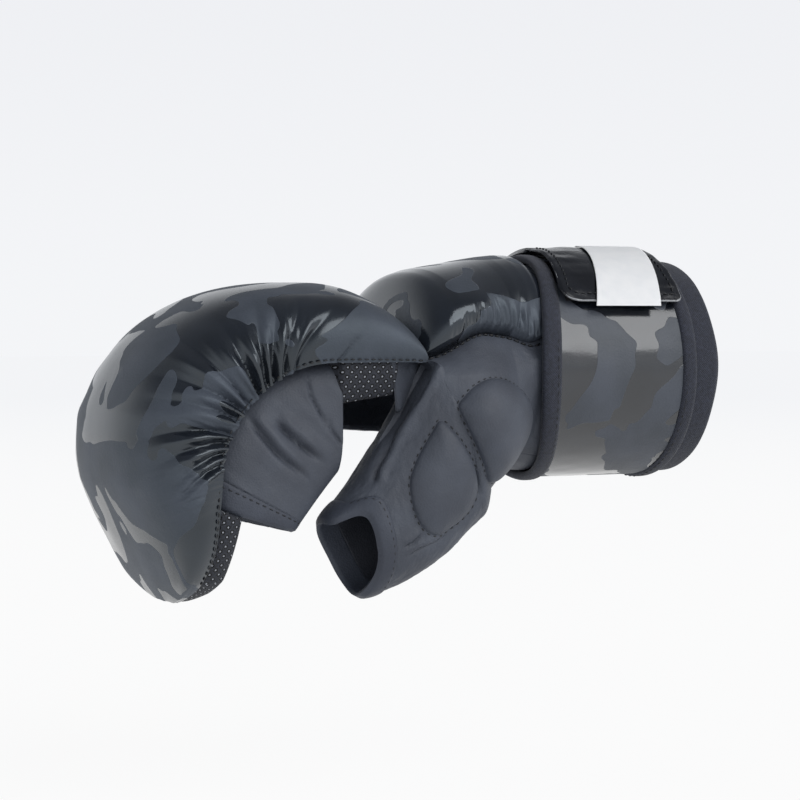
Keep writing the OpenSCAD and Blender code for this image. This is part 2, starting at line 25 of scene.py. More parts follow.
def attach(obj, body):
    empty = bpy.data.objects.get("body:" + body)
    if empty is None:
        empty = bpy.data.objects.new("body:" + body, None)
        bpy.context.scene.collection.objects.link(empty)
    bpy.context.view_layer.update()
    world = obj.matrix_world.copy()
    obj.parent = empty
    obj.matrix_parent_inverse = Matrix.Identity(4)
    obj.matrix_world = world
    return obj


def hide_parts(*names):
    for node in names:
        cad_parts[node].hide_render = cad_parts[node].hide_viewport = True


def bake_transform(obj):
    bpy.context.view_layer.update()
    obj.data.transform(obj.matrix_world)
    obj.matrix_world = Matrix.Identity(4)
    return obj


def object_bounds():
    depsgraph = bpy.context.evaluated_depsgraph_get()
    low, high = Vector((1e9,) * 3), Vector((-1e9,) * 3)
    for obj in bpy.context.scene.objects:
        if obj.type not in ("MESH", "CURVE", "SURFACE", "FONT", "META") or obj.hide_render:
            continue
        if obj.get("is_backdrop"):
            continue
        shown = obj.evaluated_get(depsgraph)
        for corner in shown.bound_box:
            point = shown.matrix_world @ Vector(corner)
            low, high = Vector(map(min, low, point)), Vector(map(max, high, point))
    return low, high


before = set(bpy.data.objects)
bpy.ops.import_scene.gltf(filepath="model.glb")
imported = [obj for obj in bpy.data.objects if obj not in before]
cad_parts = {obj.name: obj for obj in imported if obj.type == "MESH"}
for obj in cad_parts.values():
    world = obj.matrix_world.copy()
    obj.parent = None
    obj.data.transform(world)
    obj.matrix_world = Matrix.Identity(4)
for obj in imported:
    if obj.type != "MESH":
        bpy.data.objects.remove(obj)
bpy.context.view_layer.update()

# %% [markdown]
# ## Small tools for surfaces
# A sewn panel is a grid of points: one direction along the piece, one across it. Two
# such grids, an outer and an inner one, make a sheet with real thickness, and a row of
# points half way between them rounds its cut edge. Padded pieces are closed tubes.
# Modifiers could thicken and round a surface as well, but in a grid every point knows
# its place on the piece, and folds and stitches need that.
# Value noise from a fixed seed gives the uneven, hand-sewn look, the same in each run.

# %% Curves and noise
def sin_d(a):
    return np.sin(np.radians(a))


def cos_d(a):
    return np.cos(np.radians(a))


def mix(a, b, q):
    return a + (b - a) * q


def smooth(q):
    """An S-shaped rise from 0 to 1."""
    c = np.clip(q, 0, 1)
    return c * c * (3 - 2 * c)


def bell(x, width, power=2):
    """A bump of height 1 at x = 0."""
    return np.exp(-np.abs(x / width) ** power)


def spow(v, e):
    """A power that keeps the sign, to square off a circle."""
    return np.sign(v) * np.abs(v) ** e


def grid(us, vs):
    return np.meshgrid(np.asarray(us, float), np.asarray(vs, float), indexing="ij")


def spans(*stretches):
    """Stretches of evenly spaced values, (start, end, count), each joined on to the last."""
    return np.concatenate([np.linspace(*s)[k > 0:] for k, s in enumerate(stretches)])


def stack(x, y, z):
    return np.stack(np.broadcast_arrays(x, y, z), -1)


def raised(points, way, high):
    return points + way * high[..., None]


def unit(v):
    return v / np.maximum(np.linalg.norm(v, axis=-1, keepdims=True), 1e-9)


def normals(points, outward):
    """Unit normals of a grid, turned to the side that outward points to."""
    n = unit(np.cross(np.gradient(points, axis=0), np.gradient(points, axis=1)))
    return n * np.where((n * outward).sum(-1, keepdims=True) < 0, -1, 1)


def noise(x, y, seed):
    """Smooth value noise between -0.5 and 0.5."""
    table = np.random.default_rng(seed).random((61, 67))
    xi, yi = np.floor(x).astype(int), np.floor(y).astype(int)
    fx, fy = smooth(x - xi), smooth(y - yi)
    pick = lambda i, j: table[(xi + i) % 61, (yi + j) % 67]
    return mix(mix(pick(0, 0), pick(1, 0), fx), mix(pick(0, 1), pick(1, 1), fx), fy) - 0.5


sample = noise(*grid(np.arange(0, 9, 0.1), np.arange(0, 9, 0.1)), 1)
print("noise runs from", sample.min().round(2), "to", sample.max().round(2))

# %% Meshes from grids
MM = 0.001


def quads(rows, cols, wrap=False, start=0):
    """Faces of a grid, closed round its columns if asked."""
    i, j = np.meshgrid(np.arange(rows - 1), np.arange(cols if wrap else cols - 1), indexing="ij")
    a, b = start + i * cols + j, start + i * cols + (j + 1) % cols
    return np.stack([a, b, b + cols, a + cols], -1).reshape(-1, 4).tolist()


def piece(name, points, faces, material, body=None, nodes=(), sharp=55):
    """A mesh object from points in millimetres, riding on a body and standing for its nodes."""
    mesh = bpy.data.meshes.new(name)
    mesh.from_pydata((np.asarray(points).reshape(-1, 3) * MM).tolist(), [], faces)
    bm = bmesh.new()
    bm.from_mesh(mesh)
    bmesh.ops.remove_doubles(bm, verts=bm.verts, dist=1e-6)
    bmesh.ops.dissolve_degenerate(bm, edges=bm.edges, dist=1e-6)
    bmesh.ops.recalc_face_normals(bm, faces=bm.faces)
    bm.to_mesh(mesh)
    bm.free()
    mesh.polygons.foreach_set("use_smooth", [True] * len(mesh.polygons))
    mesh.set_sharp_from_angle(angle=math.radians(sharp))
    mesh.materials.append(material)
    ob = bpy.data.objects.new(name, mesh)
    bpy.context.collection.objects.link(ob)
    if body:
        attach(ob, body)
    if nodes:
        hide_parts(*nodes)
    print(name, len(mesh.vertices), "points")
    return ob


def second_finish(ob, material, where):
    """Another finish on the faces that where() picks."""
    ob.data.materials.append(material)
    for polygon in ob.data.polygons:
        polygon.material_index = int(where(polygon))


def sheet(name, outer, inner, material, body=None, nodes=(), wrap=False, rim=0.4):
    """A sheet between two grids. Its cut edges bulge by rim, a share of its thickness."""
    mid, thick = (outer + inner) / 2, np.linalg.norm(outer - inner, axis=-1, keepdims=True)

    def edge(a, b, t):
        return a + unit(a - b) * t * rim

    first, last = edge(mid[0], mid[1], thick[0]), edge(mid[-1], mid[-2], thick[-1])
    sides = [np.concatenate([first[None], g, last[None]]) for g in (outer, inner)]
    if not wrap:
        mid, thick = (sides[0] + sides[1]) / 2, np.concatenate([thick[:1], thick, thick[-1:]])
        low, high = edge(mid[:, 0], mid[:, 1], thick[:, 0]), edge(mid[:, -1], mid[:, -2], thick[:, -1])
        sides = [np.concatenate([low[:, None], g, high[:, None]], 1) for g in sides]
    rows, cols = sides[0].shape[:2]
    faces = quads(rows, cols, wrap) + quads(rows, cols, wrap, rows * cols)
    return piece(name, np.concatenate(sides), faces, material, body, nodes)


def tube(name, rings, material, body, nodes, cap=0.6, sharp=60):
    """A closed tube, its ends drawn in to a point."""
    ends, draw_in = [], ((0.97, 0.5), (0.8, 0.9), (0.0, 1.0))
    for ring, inward in ((rings[0], rings[1]), (rings[-1], rings[-2])):
        mid = ring.mean(0)
        out = unit(mid - inward.mean(0))
        ends.append([mid + (ring - mid) * k + out * cap * h for k, h in draw_in])
    rings = np.concatenate([ends[0][::-1], rings, ends[1]])
    return piece(name, rings, quads(*rings.shape[:2], True), material, body, nodes, sharp)


print("a grid of 3 by 4 points has", len(quads(3, 4)), "faces, or", len(quads(3, 4, True)), "when closed")

# %% [markdown]
# ## Finishes
# Shader sums read best as sums, so one small class wraps a socket and gives it the
# usual operators. Any other node comes from its one method. All patterns use the
# object's own coordinates in metres, so a grain of half a millimetre is a scale of
# about 2000, and neighbouring pieces share one continuous pattern. Image textures
# would need each piece unfolded, and these patterns don't.

# %% Wires
def plug(tree, node, inputs):
    """Give a node's sockets their values or links."""
    for key, value in inputs.items():
        if isinstance(value, Wire):
            tree.links.new(value.socket, node.inputs[key])
        else:
            node.inputs[key].default_value = value


class Wire:
    """A shader socket that can be used in sums."""

    def __init__(self, tree, socket):
        self.tree, self.socket = tree, socket

    def node(self, kind, settings=None, inputs=None, out=0):
        made = self.tree.nodes.new(kind)
        for key, value in (settings or {}).items():
            setattr(made, key, value)
        plug(self.tree, made, inputs or {})
        return Wire(self.tree, made.outputs[out])

    def math(self, operation, a, b=0.0):
        return self.node("ShaderNodeMath", {"operation": operation}, {0: a, 1: b})

    def __add__(self, other):
        return self.math("ADD", self, other)

    def __sub__(self, other):
        return self.math("SUBTRACT", self, other)

    def __rsub__(self, other):
        return self.math("SUBTRACT", other, self)

    def __mul__(self, other):
        return self.math("MULTIPLY", self, other)

    __radd__, __rmul__ = __add__, __mul__

    def step(self, low, high):
        """0 below low, 1 above high and smooth between them."""
        return self.node("ShaderNodeMapRange", {"interpolation_type": "SMOOTHSTEP"},
                         {"Value": self, "From Min": low, "From Max": high, "To Min": 0.0, "To Max": 1.0})

    def blend(self, a, b):
        """Colour a where this is 0 and colour b where it is 1."""
        return self.node("ShaderNodeMix", {"data_type": "RGBA"}, {0: self, 6: a, 7: b}, out=2)

    def axes(self):
        """The three parts of a vector."""
        split = self.node("ShaderNodeSeparateXYZ", None, {0: self})
        return [Wire(self.tree, part) for part in split.socket.node.outputs]


def linear(code):
    """A colour written as on a paint card, as the numbers that a shader needs."""
    parts = [int(code[i:i + 2], 16) / 255 for i in (1, 3, 5)]
    return tuple(p / 12.92 if p <= 0.04045 else ((p + 0.055) / 1.055) ** 2.4 for p in parts) + (1.0,)


print("slate in a shader is", [round(part, 3) for part in linear("#3c4149")])

# %% Parts of a finish
def new_finish(name):
    """A material for a slot of the part, and the wire of its coordinates."""
    material = bpy.data.materials.new(name)
    material.use_nodes = True
    tree = material.node_tree
    return material, Wire(tree, tree.nodes.new("ShaderNodeTexCoord").outputs["Object"])


def paint(material, sockets):
    tree = material.node_tree
    plug(tree, tree.nodes["Principled BSDF"], sockets)
    print("finish", material.name)
    return material


def cloud(at, scale, detail=2.0, roughness=0.5, distortion=0.0):
    return at.node("ShaderNodeTexNoise", None, {"Vector": at, "Scale": scale, "Detail": detail,
                                                "Roughness": roughness, "Distortion": distortion})


def pebble(at, scale):
    return at.node("ShaderNodeTexVoronoi", {"feature": "F1"}, {"Vector": at, "Scale": scale})


def shades(mask, low, high, dark, light):
    """Two shades of a colour, mixed by a soft mask."""
    return mask.step(low, high).blend(linear(dark), linear(light))


def relief(at, height, distance, strength):
    return at.node("ShaderNodeBump", None, {"Height": height, "Distance": distance, "Strength": strength})


def grain(at, fine=1500.0):
    """Height of a pebbled grain with shallow creases between the pebbles."""
    return pebble(at, fine) * 0.6 + cloud(at, fine * 0.5, 3.0) * 0.5 + cloud(at, 90.0, 3.0) * 0.9


print("parts of a finish:", [part.__name__ for part in (cloud, pebble, shades, relief, grain)])

# %% [markdown]
# ## Leather
# Two leathers make the glove. The plain one is matte and charcoal with a fine pebbled
# grain. The padded parts carry a common camouflage: the ground is a glossy near-black
# film that shows mostly by what it mirrors, and the rounded, lobed shapes on it are
# matte slate. A painted picture could hold the shapes, but one noise field with a hard
# edge draws them at any size, and grain, roughness and clear coat follow its mask.

# %% Matte and gloss leather
def matte_leather(name, dark, light):
    material, at = new_finish(name)
    return paint(material, {"Base Color": shades(cloud(at, 55.0, 4.0), 0.3, 0.72, dark, light),
                            "Roughness": 0.46 + cloud(at, 140.0, 3.0) * 0.22,
                            "Normal": relief(at, grain(at), 0.00022, 0.6),
                            "Specular IOR Level": 0.4})


def gloss_leather(name, dark, light):
    material, at = new_finish(name)
    wrinkles = cloud(at, 420.0, 4.0) + cloud(at, 110.0, 2.0, 0.5, 0.6) * 1.6
    return paint(material, {"Base Color": shades(cloud(at, 60.0, 3.0), 0.35, 0.7, dark, light),
                            "Roughness": 0.12 + cloud(at, 120.0, 3.0) * 0.2,
                            "Normal": relief(at, wrinkles, 0.0005, 0.3)})


MATTE = matte_leather("matte_leather", "#454952", "#50555f")
# A darker copy of the plain leather, for inner faces that lie in shade: painted shade.
MATTE_SHADED = matte_leather("matte_leather_inside", "#2e3138", "#383b43")
MATTE_HEM = matte_leather("sueded_hem", "#3c404a", "#474c57")
GLOSS = gloss_leather("gloss_leather", "#101218", "#1a1d23")

# %% Camouflage leather
COOL_FILM, CLEAR_FILM = (0.78, 0.9, 1.0, 1), (0.96, 0.98, 1.0, 1)


def camo_leather(name, scale, layout, shine=0.2, level=0.5, tint=COOL_FILM, coat=0.35):
    """Layout moves the noise, and where the noise is over the level it makes a matte shape."""
    material, at = new_finish(name)
    field = at.node("ShaderNodeMapping", None, {"Vector": at, "Location": layout})
    patch = cloud(field, scale, 2.0, 0.4, 0.9).step(level, level + 0.006)
    ground = shades(cloud(at, 70.0, 3.0), 0.3, 0.75, "#11141a", "#191d25")
    slate = shades(cloud(at, 60.0, 4.0), 0.3, 0.75, "#3c4149", "#474c56")
    height = grain(at, 1300.0) * (0.3 + patch * 0.7) + patch * 0.15
    return paint(material, {"Base Color": patch.blend(ground, slate),
                            "Roughness": shine + patch * 0.32 + cloud(at, 160.0, 3.0) * 0.1,
                            "Coat Weight": coat - patch * coat,
                            "Coat Roughness": 0.16,
                            "Normal": relief(at, height, 0.0002, 0.5),
                            "IOR": 1.6,
                            "Specular Tint": tint})


CAMO = camo_leather("camo_leather", 33.0, (0.4, 0.1, 0.7))
CAMO_STRAP = camo_leather("camo_strap", 34.0, (0.41, 0.02, 0.23), 0.15, 0.49, CLEAR_FILM, 0.7)
CAMO_ROLL = camo_leather("camo_roll", 33.0, (0.071, 0.024, 0.047), 0.1, 0.515)

# %% [markdown]
# ## Tape, mesh and thread
# The edges are bound with woven tape: two fine waves, one along the forearm and one
# round it, give the weave. The lining is a knitted mesh with rows of small holes, set
# off from row to row. Each hole is a dark ring of painted shade with a pale dot in it,
# a painted glint. Real holes would take very many points, so they are coloured and
# pressed in by the finish. Thread is black with a little shine.

# %% Woven and knitted finishes
STRAP_TAPE_R, BORE_MESH_R = 0.041, 0.03


def binding_tape(name, dark, light, pitch=0.0009):
    material, at = new_finish(name)
    x, y, z = at.axes()
    turns = 2 * math.pi / pitch
    along, round_way = x * turns, at.math("ARCTAN2", y, z) * (STRAP_TAPE_R * turns)
    weave = at.math("SINE", along + round_way) * 0.5 + at.math("SINE", along - round_way) * 0.5
    fuzz = cloud(at, 900.0, 3.0)
    return paint(material, {"Base Color": shades(fuzz * 0.8 + weave * 0.12, 0.15, 0.75, dark, light),
                            "Normal": relief(at, weave * 0.4 + fuzz, 0.0003, 0.6),
                            "Roughness": 0.8,
                            "Sheen Weight": 0.15,
                            "Sheen Roughness": 0.5})


def knit_mesh(way, pitch=0.0023):
    """Mesh with staggered holes, each a ring of painted shade round a dot of painted glint. Way says how its
    sheet lies: side, lining or bore.
    """
    material, at = new_finish("mesh_" + way)
    x, y, z = at.axes()
    u, v = {"side": lambda: (x, z), "lining": lambda: (y, x + z),
            "bore": lambda: (x, at.math("ARCTAN2", y, z) * BORE_MESH_R)}[way]()
    flat = at.node("ShaderNodeCombineXYZ", None, {0: u + v, 1: u - v})
    away = at.node("ShaderNodeTexVoronoi", {"voronoi_dimensions": "2D", "feature": "F1"},
                   {"Vector": flat, "Scale": 0.7071 / pitch, "Randomness": 0.0})
    # Painted light: the pale dot in each hole is a painted glint, and the dark ring round it is painted
    # shade.
    dot = 1 - away.step(0.1, 0.19)
    hole_shade = (1 - away.step(0.26, 0.36)) * (1 - dot)
    knit = cloud(at, 1400.0, 2.0)
    cloth = hole_shade.blend(shades(knit, 0.3, 0.7, "#23252b", "#343740"), linear("#0c0d10"))
    return paint(material, {"Base Color": dot.blend(cloth, linear("#a9adb5")),
                            "Roughness": 0.75 - dot * 0.45,
                            "Normal": relief(at, dot * 0.8 - hole_shade * 1.2 + knit * 0.3, 0.0005, 0.8)})


TAPE = binding_tape("binding_tape", "#1f222c", "#343847")
MESH_SIDE, MESH_LINING, MESH_BORE = (knit_mesh(way) for way in ("side", "lining", "bore"))

# %% Closing tape, label and thread
def napped(name, dark, light, size=1900.0):
    material, at = new_finish(name)
    fuzz = cloud(at, size, 4.0, 0.7)
    return paint(material, {"Base Color": shades(fuzz, 0.3, 0.75, dark, light),
                            "Normal": relief(at, fuzz + pebble(at, size * 0.4), 0.0007, 0.9),
                            "Roughness": 0.9})


def satin_label(name):
    material, at = new_finish(name)
    ribs = at.node("ShaderNodeTexWave", {"bands_direction": "X"}, {"Vector": at, "Scale": 700.0})
    return paint(material, {"Base Color": shades(cloud(at, 220.0, 3.0), 0.2, 0.8, "#f3f4f5", "#fafafa"),
                            "Normal": relief(at, ribs + cloud(at, 500.0), 0.0001, 0.4),
                            "Roughness": 0.55})


def plain_thread(name, dark, light, roughness):
    """A plain finish for thread and thin edges, in two shades with a faint fuzz."""
    material, at = new_finish(name)
    return paint(material, {"Base Color": shades(cloud(at, 1200.0, 3.0), 0.3, 0.7, dark, light),
                            "Normal": relief(at, cloud(at, 3000.0, 2.0), 0.0001, 0.5),
                            "Roughness": roughness})


LOOPS = napped("soft_tape", "#0e0e10", "#202124")
HOOKS = napped("gripping_tape", "#0c0c0d", "#2a2b2e", 1200.0)
LABEL = satin_label("blank_label")
THREAD = plain_thread("thread", "#0d0e11", "#22242a", 0.45)
CUT_EDGE = plain_thread("cut_edge", "#8b8d90", "#b4b6b8", 0.6)

# %% [markdown]
# ## Stitches
# A stitch is a short, fat thread that dives into the leather at both ends. Each one is
# a small spindle laid along the seam, and one seam is one mesh. A line of dots in the
# finish would be cheaper, but it would have no height to catch the light. The pitch of
# about three millimetres is that of heavy leather sewing.

# %% Stitches along a path
# A stitch's rings: places along it in half lengths, then thicknesses and heights in radii.
SPINDLE = [(-1.0, 0.25, -0.5), (-0.6, 0.85, 0.1), (0.0, 1.0, 0.35), (0.6, 0.85, 0.1), (1.0, 0.25, -0.5)]
SIDES = 6


def along_path(path, pitch):
    """Evenly spaced places on a path, with their directions."""
    path = np.asarray(path, float)
    lengths = np.concatenate([[0], np.cumsum(np.linalg.norm(np.diff(path, axis=0), axis=1))])
    spots = np.arange(pitch / 2, lengths[-1], pitch)

    def at(s):
        return np.stack([np.interp(s, lengths, path[:, k]) for k in range(3)], -1)

    return at(spots), unit(at(np.minimum(spots + 0.4, lengths[-1])) - at(np.maximum(spots - 0.4, 0)))


def sew(name, seams, body, slot, pitch, length, radius):
    """One mesh with the stitches of several seams, each a path and the way it faces."""
    points, faces = [], []
    turns = np.arange(SIDES) * 360 / SIDES
    for path, outward in seams:
        spots, ways = along_path(path, pitch)
        outward = np.broadcast_to(np.asarray(outward, float), np.shape(path))
        here, known = np.linspace(0, 1, len(spots)), np.linspace(0, 1, len(path))
        lift = unit(np.stack([np.interp(here, known, outward[:, k]) for k in range(3)], -1))
        side = unit(np.cross(ways, lift))
        for p, w, s, n in zip(spots, ways, side, np.cross(side, ways)):
            start = len(points) * SIDES
            for along, thick, high in SPINDLE:
                middle = p + w * along * length / 2 + n * high * radius
                points.append([middle + (s * cos_d(t) + n * sin_d(t)) * radius * thick for t in turns])
            faces += quads(len(SPINDLE), SIDES, True, start)
            faces += [[start + k for k in range(SIDES)],
                      [start + (len(SPINDLE) - 1) * SIDES + k for k in reversed(range(SIDES))]]
    return piece(name, points, faces, THREAD, body, sharp=80)


print("a seam of 100 mm has", len(along_path([(0, 0, 0), (100, 0, 0)], 2.9)[0]), "stitches")

# %% [markdown]
# ## The knuckle pad
# The thick pad over the fist is foam under camouflage leather. On the real glove the
# leather is pulled into a short seam at each side, so deep pleats fan out from there
# and die away towards the crown. A cloth simulation would put them anywhere, so they
# are pressed into the grid instead, as narrow grooves that widen and fade with their
# distance from the seam. Each has its own depth and reach, and a fine ripple runs
# along them.

# %% Shape of the knuckle pad
PAD_X, PAD_Z, PAD_HALF, PAD_TUCK = -116.8, 4.5, 47.0, 18.0
FIST_R, TOP_RUN, FRONT_RUN = 42.0, 33.0, 40.5
BEND_L = FIST_R * math.pi / 2
GATHER_END = TOP_RUN + BEND_L
PAD_L = GATHER_END + FRONT_RUN
FIST = np.array([PAD_X - TOP_RUN, 0.0, PAD_Z - FIST_R])
REAR_H, TOP_H, CROWN_H, TIP_H = 5.0, 26.0, 31.0, 5.5
REAR_ROLL, FALL_L, NOSE_L, PAD_POWER = 30.0, 15.0, 9.0, 0.82
SEAM_LOW, SEAM_TIP, SEAM_RISE = -1.3, 1.5, 20


def pad_frame(d):
    """The pad's inner face at d from its crease, and the way out of the fist there."""
    turn = np.clip((d - TOP_RUN) / BEND_L, 0, 1) * 90
    out = stack(-sin_d(turn), 0.0, cos_d(turn))
    return FIST + FIST_R * out + stack(np.maximum(0, TOP_RUN - d), 0.0, -np.maximum(0, d - GATHER_END)), out


def nose(d):
    """1 along the pad, rounding off to its tip."""
    return np.sqrt(1 - np.clip((d - PAD_L + NOSE_L) / (NOSE_L + 0.4), 0, 1) ** 2)


def seam_height(d):
    """Where the pad's edge is sewn: it reaches down over the lining, but not at the tip."""
    return mix(SEAM_LOW, SEAM_TIP, smooth((d - GATHER_END - SEAM_RISE) / SEAM_RISE))


def pad_height(d):
    """The crown's height: it rolls up from the crease and falls to the tip."""
    roll = np.clip(d / REAR_ROLL, 0, 1)
    body = mix(TOP_H, CROWN_H, smooth((d - TOP_RUN) / (BEND_L * 0.6)))
    fall = np.clip((d - GATHER_END + FALL_L) / (FRONT_RUN + FALL_L), 0, 1) ** 1.3
    return mix(mix(REAR_H, body, (1 - (1 - roll) ** 2) ** 0.62), TIP_H, fall)


def pad_half(d):
    """Half the pad's width, which tapers over the fingers."""
    taper = np.sqrt(1 - np.clip((d - GATHER_END) / (FRONT_RUN + 4.5), 0, 1) ** 2)
    return PAD_HALF * taper * mix(0.35, 1, nose(d))


def pad_point(d, a):
    """Point on the pad, a from the near seam over the crown to the far one."""
    inner, out = pad_frame(d)
    base, tuck = seam_height(d), sin_d(PAD_TUCK)
    rise = np.maximum(0, (sin_d(a) + tuck) / (1 + tuck)) ** PAD_POWER
    high = base + (pad_height(d) - base) * rise * mix(0.45, 1, nose(d))
    return raised(inner, out, high) + stack(0.0, -pad_half(d) * spow(cos_d(a), PAD_POWER), 0.0)


print("knuckle pad runs", round(PAD_L, 1), "mm from its crease to its tip")

# %% Pleats
PLEATS, FIRST_PLEAT, LAST_PLEAT = 12, TOP_RUN + 16, TOP_RUN + 58
PLEAT_DEPTH, PLEAT_REACH, PLEAT_WIDTH = (2.6, 3.6), (56, 84), (0.7, 0.95)
ZONE_START, ZONE_END, ZONE_FADE = TOP_RUN + 10, TOP_RUN + 74, 10
SWELL, SWELL_UP, SWELL_REACH = 1.3, 12, 22
CORNER_DEPTH, CORNER_D, CORNER_W, CORNER_L = 0.9, TOP_RUN - 1, 0.6, 15


def pleats(d, t, seed):
    """Height of the pleats at d along the seam and t above it."""
    rng = np.random.default_rng(seed)
    shares = np.linspace(-1, 1, PLEATS)
    places = mix(FIRST_PLEAT, LAST_PLEAT, (shares + 1) / 2) + rng.uniform(-0.7, 0.7, PLEATS)
    zone = smooth((d + t * 0.25 - ZONE_START) / ZONE_FADE) * smooth((ZONE_END + t * 0.3 - d) / ZONE_FADE)
    high = SWELL * zone * bell(t - SWELL_UP, SWELL_REACH)
    for place, share in zip(places, shares):
        depth = rng.uniform(*PLEAT_DEPTH) * mix(1, 0.75, abs(share))
        reach = rng.uniform(*PLEAT_REACH) * mix(1, 0.55, abs(share))
        lean = share * 0.45 + rng.uniform(-0.05, 0.05)
        x = (d - place - lean * t) / (rng.uniform(*PLEAT_WIDTH) + 0.026 * t)
        fade = np.clip(1 - (t / reach) ** 1.5, 0, 1) ** 1.5 * (1 - 0.75 * np.exp(-(t + 0.4) / 1.2))
        groove, ridge = bell(x, np.where(x > 0, 0.9, 1.6), 1.25), 0.4 * bell(x - 1.9, 0.9)
        high = high + depth * fade * (ridge - groove)
    fan = t * (d - TOP_RUN - 40) / 30
    lines = noise(d * 1.1 - fan * 0.2, t * 0.06, seed + 5)
    threads = noise(d * 2.3 - fan * 0.35, t * 0.08, seed + 6)
    return high + (lines * 0.6 + threads * 0.3) * zone * bell(t - 14, 20)


def corner_seam(d, t):
    """The short seam of the side gusset, behind the first pleat."""
    return -CORNER_DEPTH * bell(d - CORNER_D + t * 0.5, CORNER_W) * smooth((CORNER_L - t) / 4)


print(PLEATS, "pleats a side, from", FIRST_PLEAT, "to", LAST_PLEAT, "mm along the seam")

# %% The pad's skin
SKIN_PER_DEGREE, FLOOR_H, FLOOR_SHARE = 0.69, 2.5, 0.93
d_rows = np.concatenate([
    mix(0, TOP_RUN - 4, np.linspace(0, 1, 36)[:-1] ** 1.2),
    spans((TOP_RUN - 4, GATHER_END + 14, 250), (GATHER_END + 14, PAD_L - NOSE_L, 24))[:-1],
    PAD_L - NOSE_L + NOSE_L * sin_d(np.linspace(0, 90, 22))])
D, A = grid(d_rows, spans((-PAD_TUCK, 50, 90), (50, 130, 36), (130, 180 + PAD_TUCK, 90)))
lift = 0.5 * noise(D * 0.06, A * 0.05, 3)
for turn, seed in ((A + PAD_TUCK, 11), (180 + PAD_TUCK - A, 29)):
    up = turn * SKIN_PER_DEGREE
    lift = lift + pleats(D, up, seed) + corner_seam(D, up)
skin = pad_point(D, A)
skin = raised(skin, normals(skin, pad_frame(D)[1] + stack(0.0, -cos_d(A) * 1.5, 0.0)), lift)
inner, out = pad_frame(d_rows)
floor_high = np.minimum(FLOOR_H, seam_height(d_rows) + 3.0) * mix(0.6, 1, nose(d_rows))
floor_y = pad_half(d_rows)[:, None] * FLOOR_SHARE * np.linspace(1, -1, 24)[1:-1]
floor = raised(inner, out, floor_high)[:, None] + stack(0.0, floor_y, 0.0)
dome = tube("knuckle_pad", np.concatenate([skin, floor], 1), CAMO, "knuckles",
            ("knuckle_skin", "knuckle_foam"), 0.4, 75)

# %% [markdown]
# ## Mesh under the knuckle pad
# The inside of the pad is lined with a padded mesh. It shows as a rounded strip below
# the finger sleeves and as a small side wall above the index finger. The pad's floor
# could carry it as a second finish, but the real lining is a layer with a rim of its
# own. So it is a sheet on the pad's curves, and the wall is a small curved sheet.

# %% Mesh lining
def lining_inside(d):
    """How far the lining's padding stands in towards the fingers, below their sleeves."""
    return -np.interp(d - GATHER_END, [6.3, 10.2, 20, 32, 37, 41], [0.0, 10.8, 9.6, 8.2, 6.0, 2.0])


LINING_RIM, LINING_TOP, LINING_SHARE = 0.1, 2.4, 0.955
rows = np.unique(np.concatenate([d_rows[::5], np.linspace(GATHER_END + 5, PAD_L, 60)]))
rim = LINING_RIM * (1 - cos_d(np.linspace(0, 90, 9)))
D, Q = grid(rows, np.concatenate([rim - 1, np.linspace(-0.88, 0.88, 21), 1 - rim[::-1]]))
inner, out = pad_frame(D)
inner = inner + stack(0.0, (pad_half(D) - 1.0) * LINING_SHARE * Q, 0.0)
edge_roll = np.sqrt(1 - np.clip((np.abs(Q) - 1 + LINING_RIM) / LINING_RIM, 0, 1) ** 2)
top, low = np.minimum(LINING_TOP, seam_height(D) + 2.8), lining_inside(D)
mid, thick = (top + low) / 2, (top - low) / 2 * mix(0.05, 1, edge_roll)
lining = sheet("knuckle_mesh", raised(inner, out, mid + thick), raised(inner, out, mid - thick),
               MESH_LINING, "knuckles", ("knuckle_lining",), rim=0.1)
second_finish(lining, MESH_SIDE, lambda face: abs(face.normal.y) > 0.6)

# %% Side wall
WALL_FRONT, WALL_REAR, WALL_Y, WALL_T = -156.5, -126.5, -43.4, np.array([0, 1.3, 0.2])
FRONT_DEEP, REAR_DEEP, WALL_LEAN, WALL_TUCK = 15.5, 11.0, 4.5, 7.0
X, Q = grid(np.linspace(WALL_FRONT, WALL_REAR, 44), np.linspace(-0.05, 1, 14))
deep = mix(FRONT_DEEP, REAR_DEEP, np.clip((X - WALL_FRONT - 5) / 32, 0, 1))
tucked = WALL_TUCK * smooth((WALL_FRONT + 11 - X) / 5)
wall = stack(X, WALL_Y + WALL_LEAN * Q - np.sin(np.pi * Q) + tucked, PAD_Z - 0.1 - deep * Q)
sheet("side_mesh_wall", wall, wall + WALL_T, MESH_SIDE, "knuckles", ("knuckle_side_mesh",))

# %% [markdown]
# ## Finger sleeves
# Four short sleeves hang from the lining. Each is a leather loop with a turned hem. The
# index sleeve, which faces the viewer, has two soft folds where the bent finger pushes
# it. Noise would fold it anywhere, so these are drawn as two lines in its side.
# The others get the same ones, gentler.

# %% Shape of a sleeve
FINGERS = {"index": -31.25, "middle": -10.75, "ring": 9.75, "little": 30.25}
SLEEVE_HALF, SLEEVE_T, SLEEVE_POWER = 9.7, 1.6, 0.62
SLEEVE_START, SLEEVE_TURN, SLEEVE_R = 2, 82, FIST_R - 0.7
PALM_START, PALM_END = (3.0, 1.5), (-8.5, -13.0)
FOLDS = [[(-180, -13), (-176, -19), (-169, -27), (-156, -37)],
         [(-171, -15), (-166, -20), (-161, -24), (-150, -32)]]
ENTRY_HEM = [(-158.5, 2), (-157, -8), (-153.6, -14), (-146, -24)]


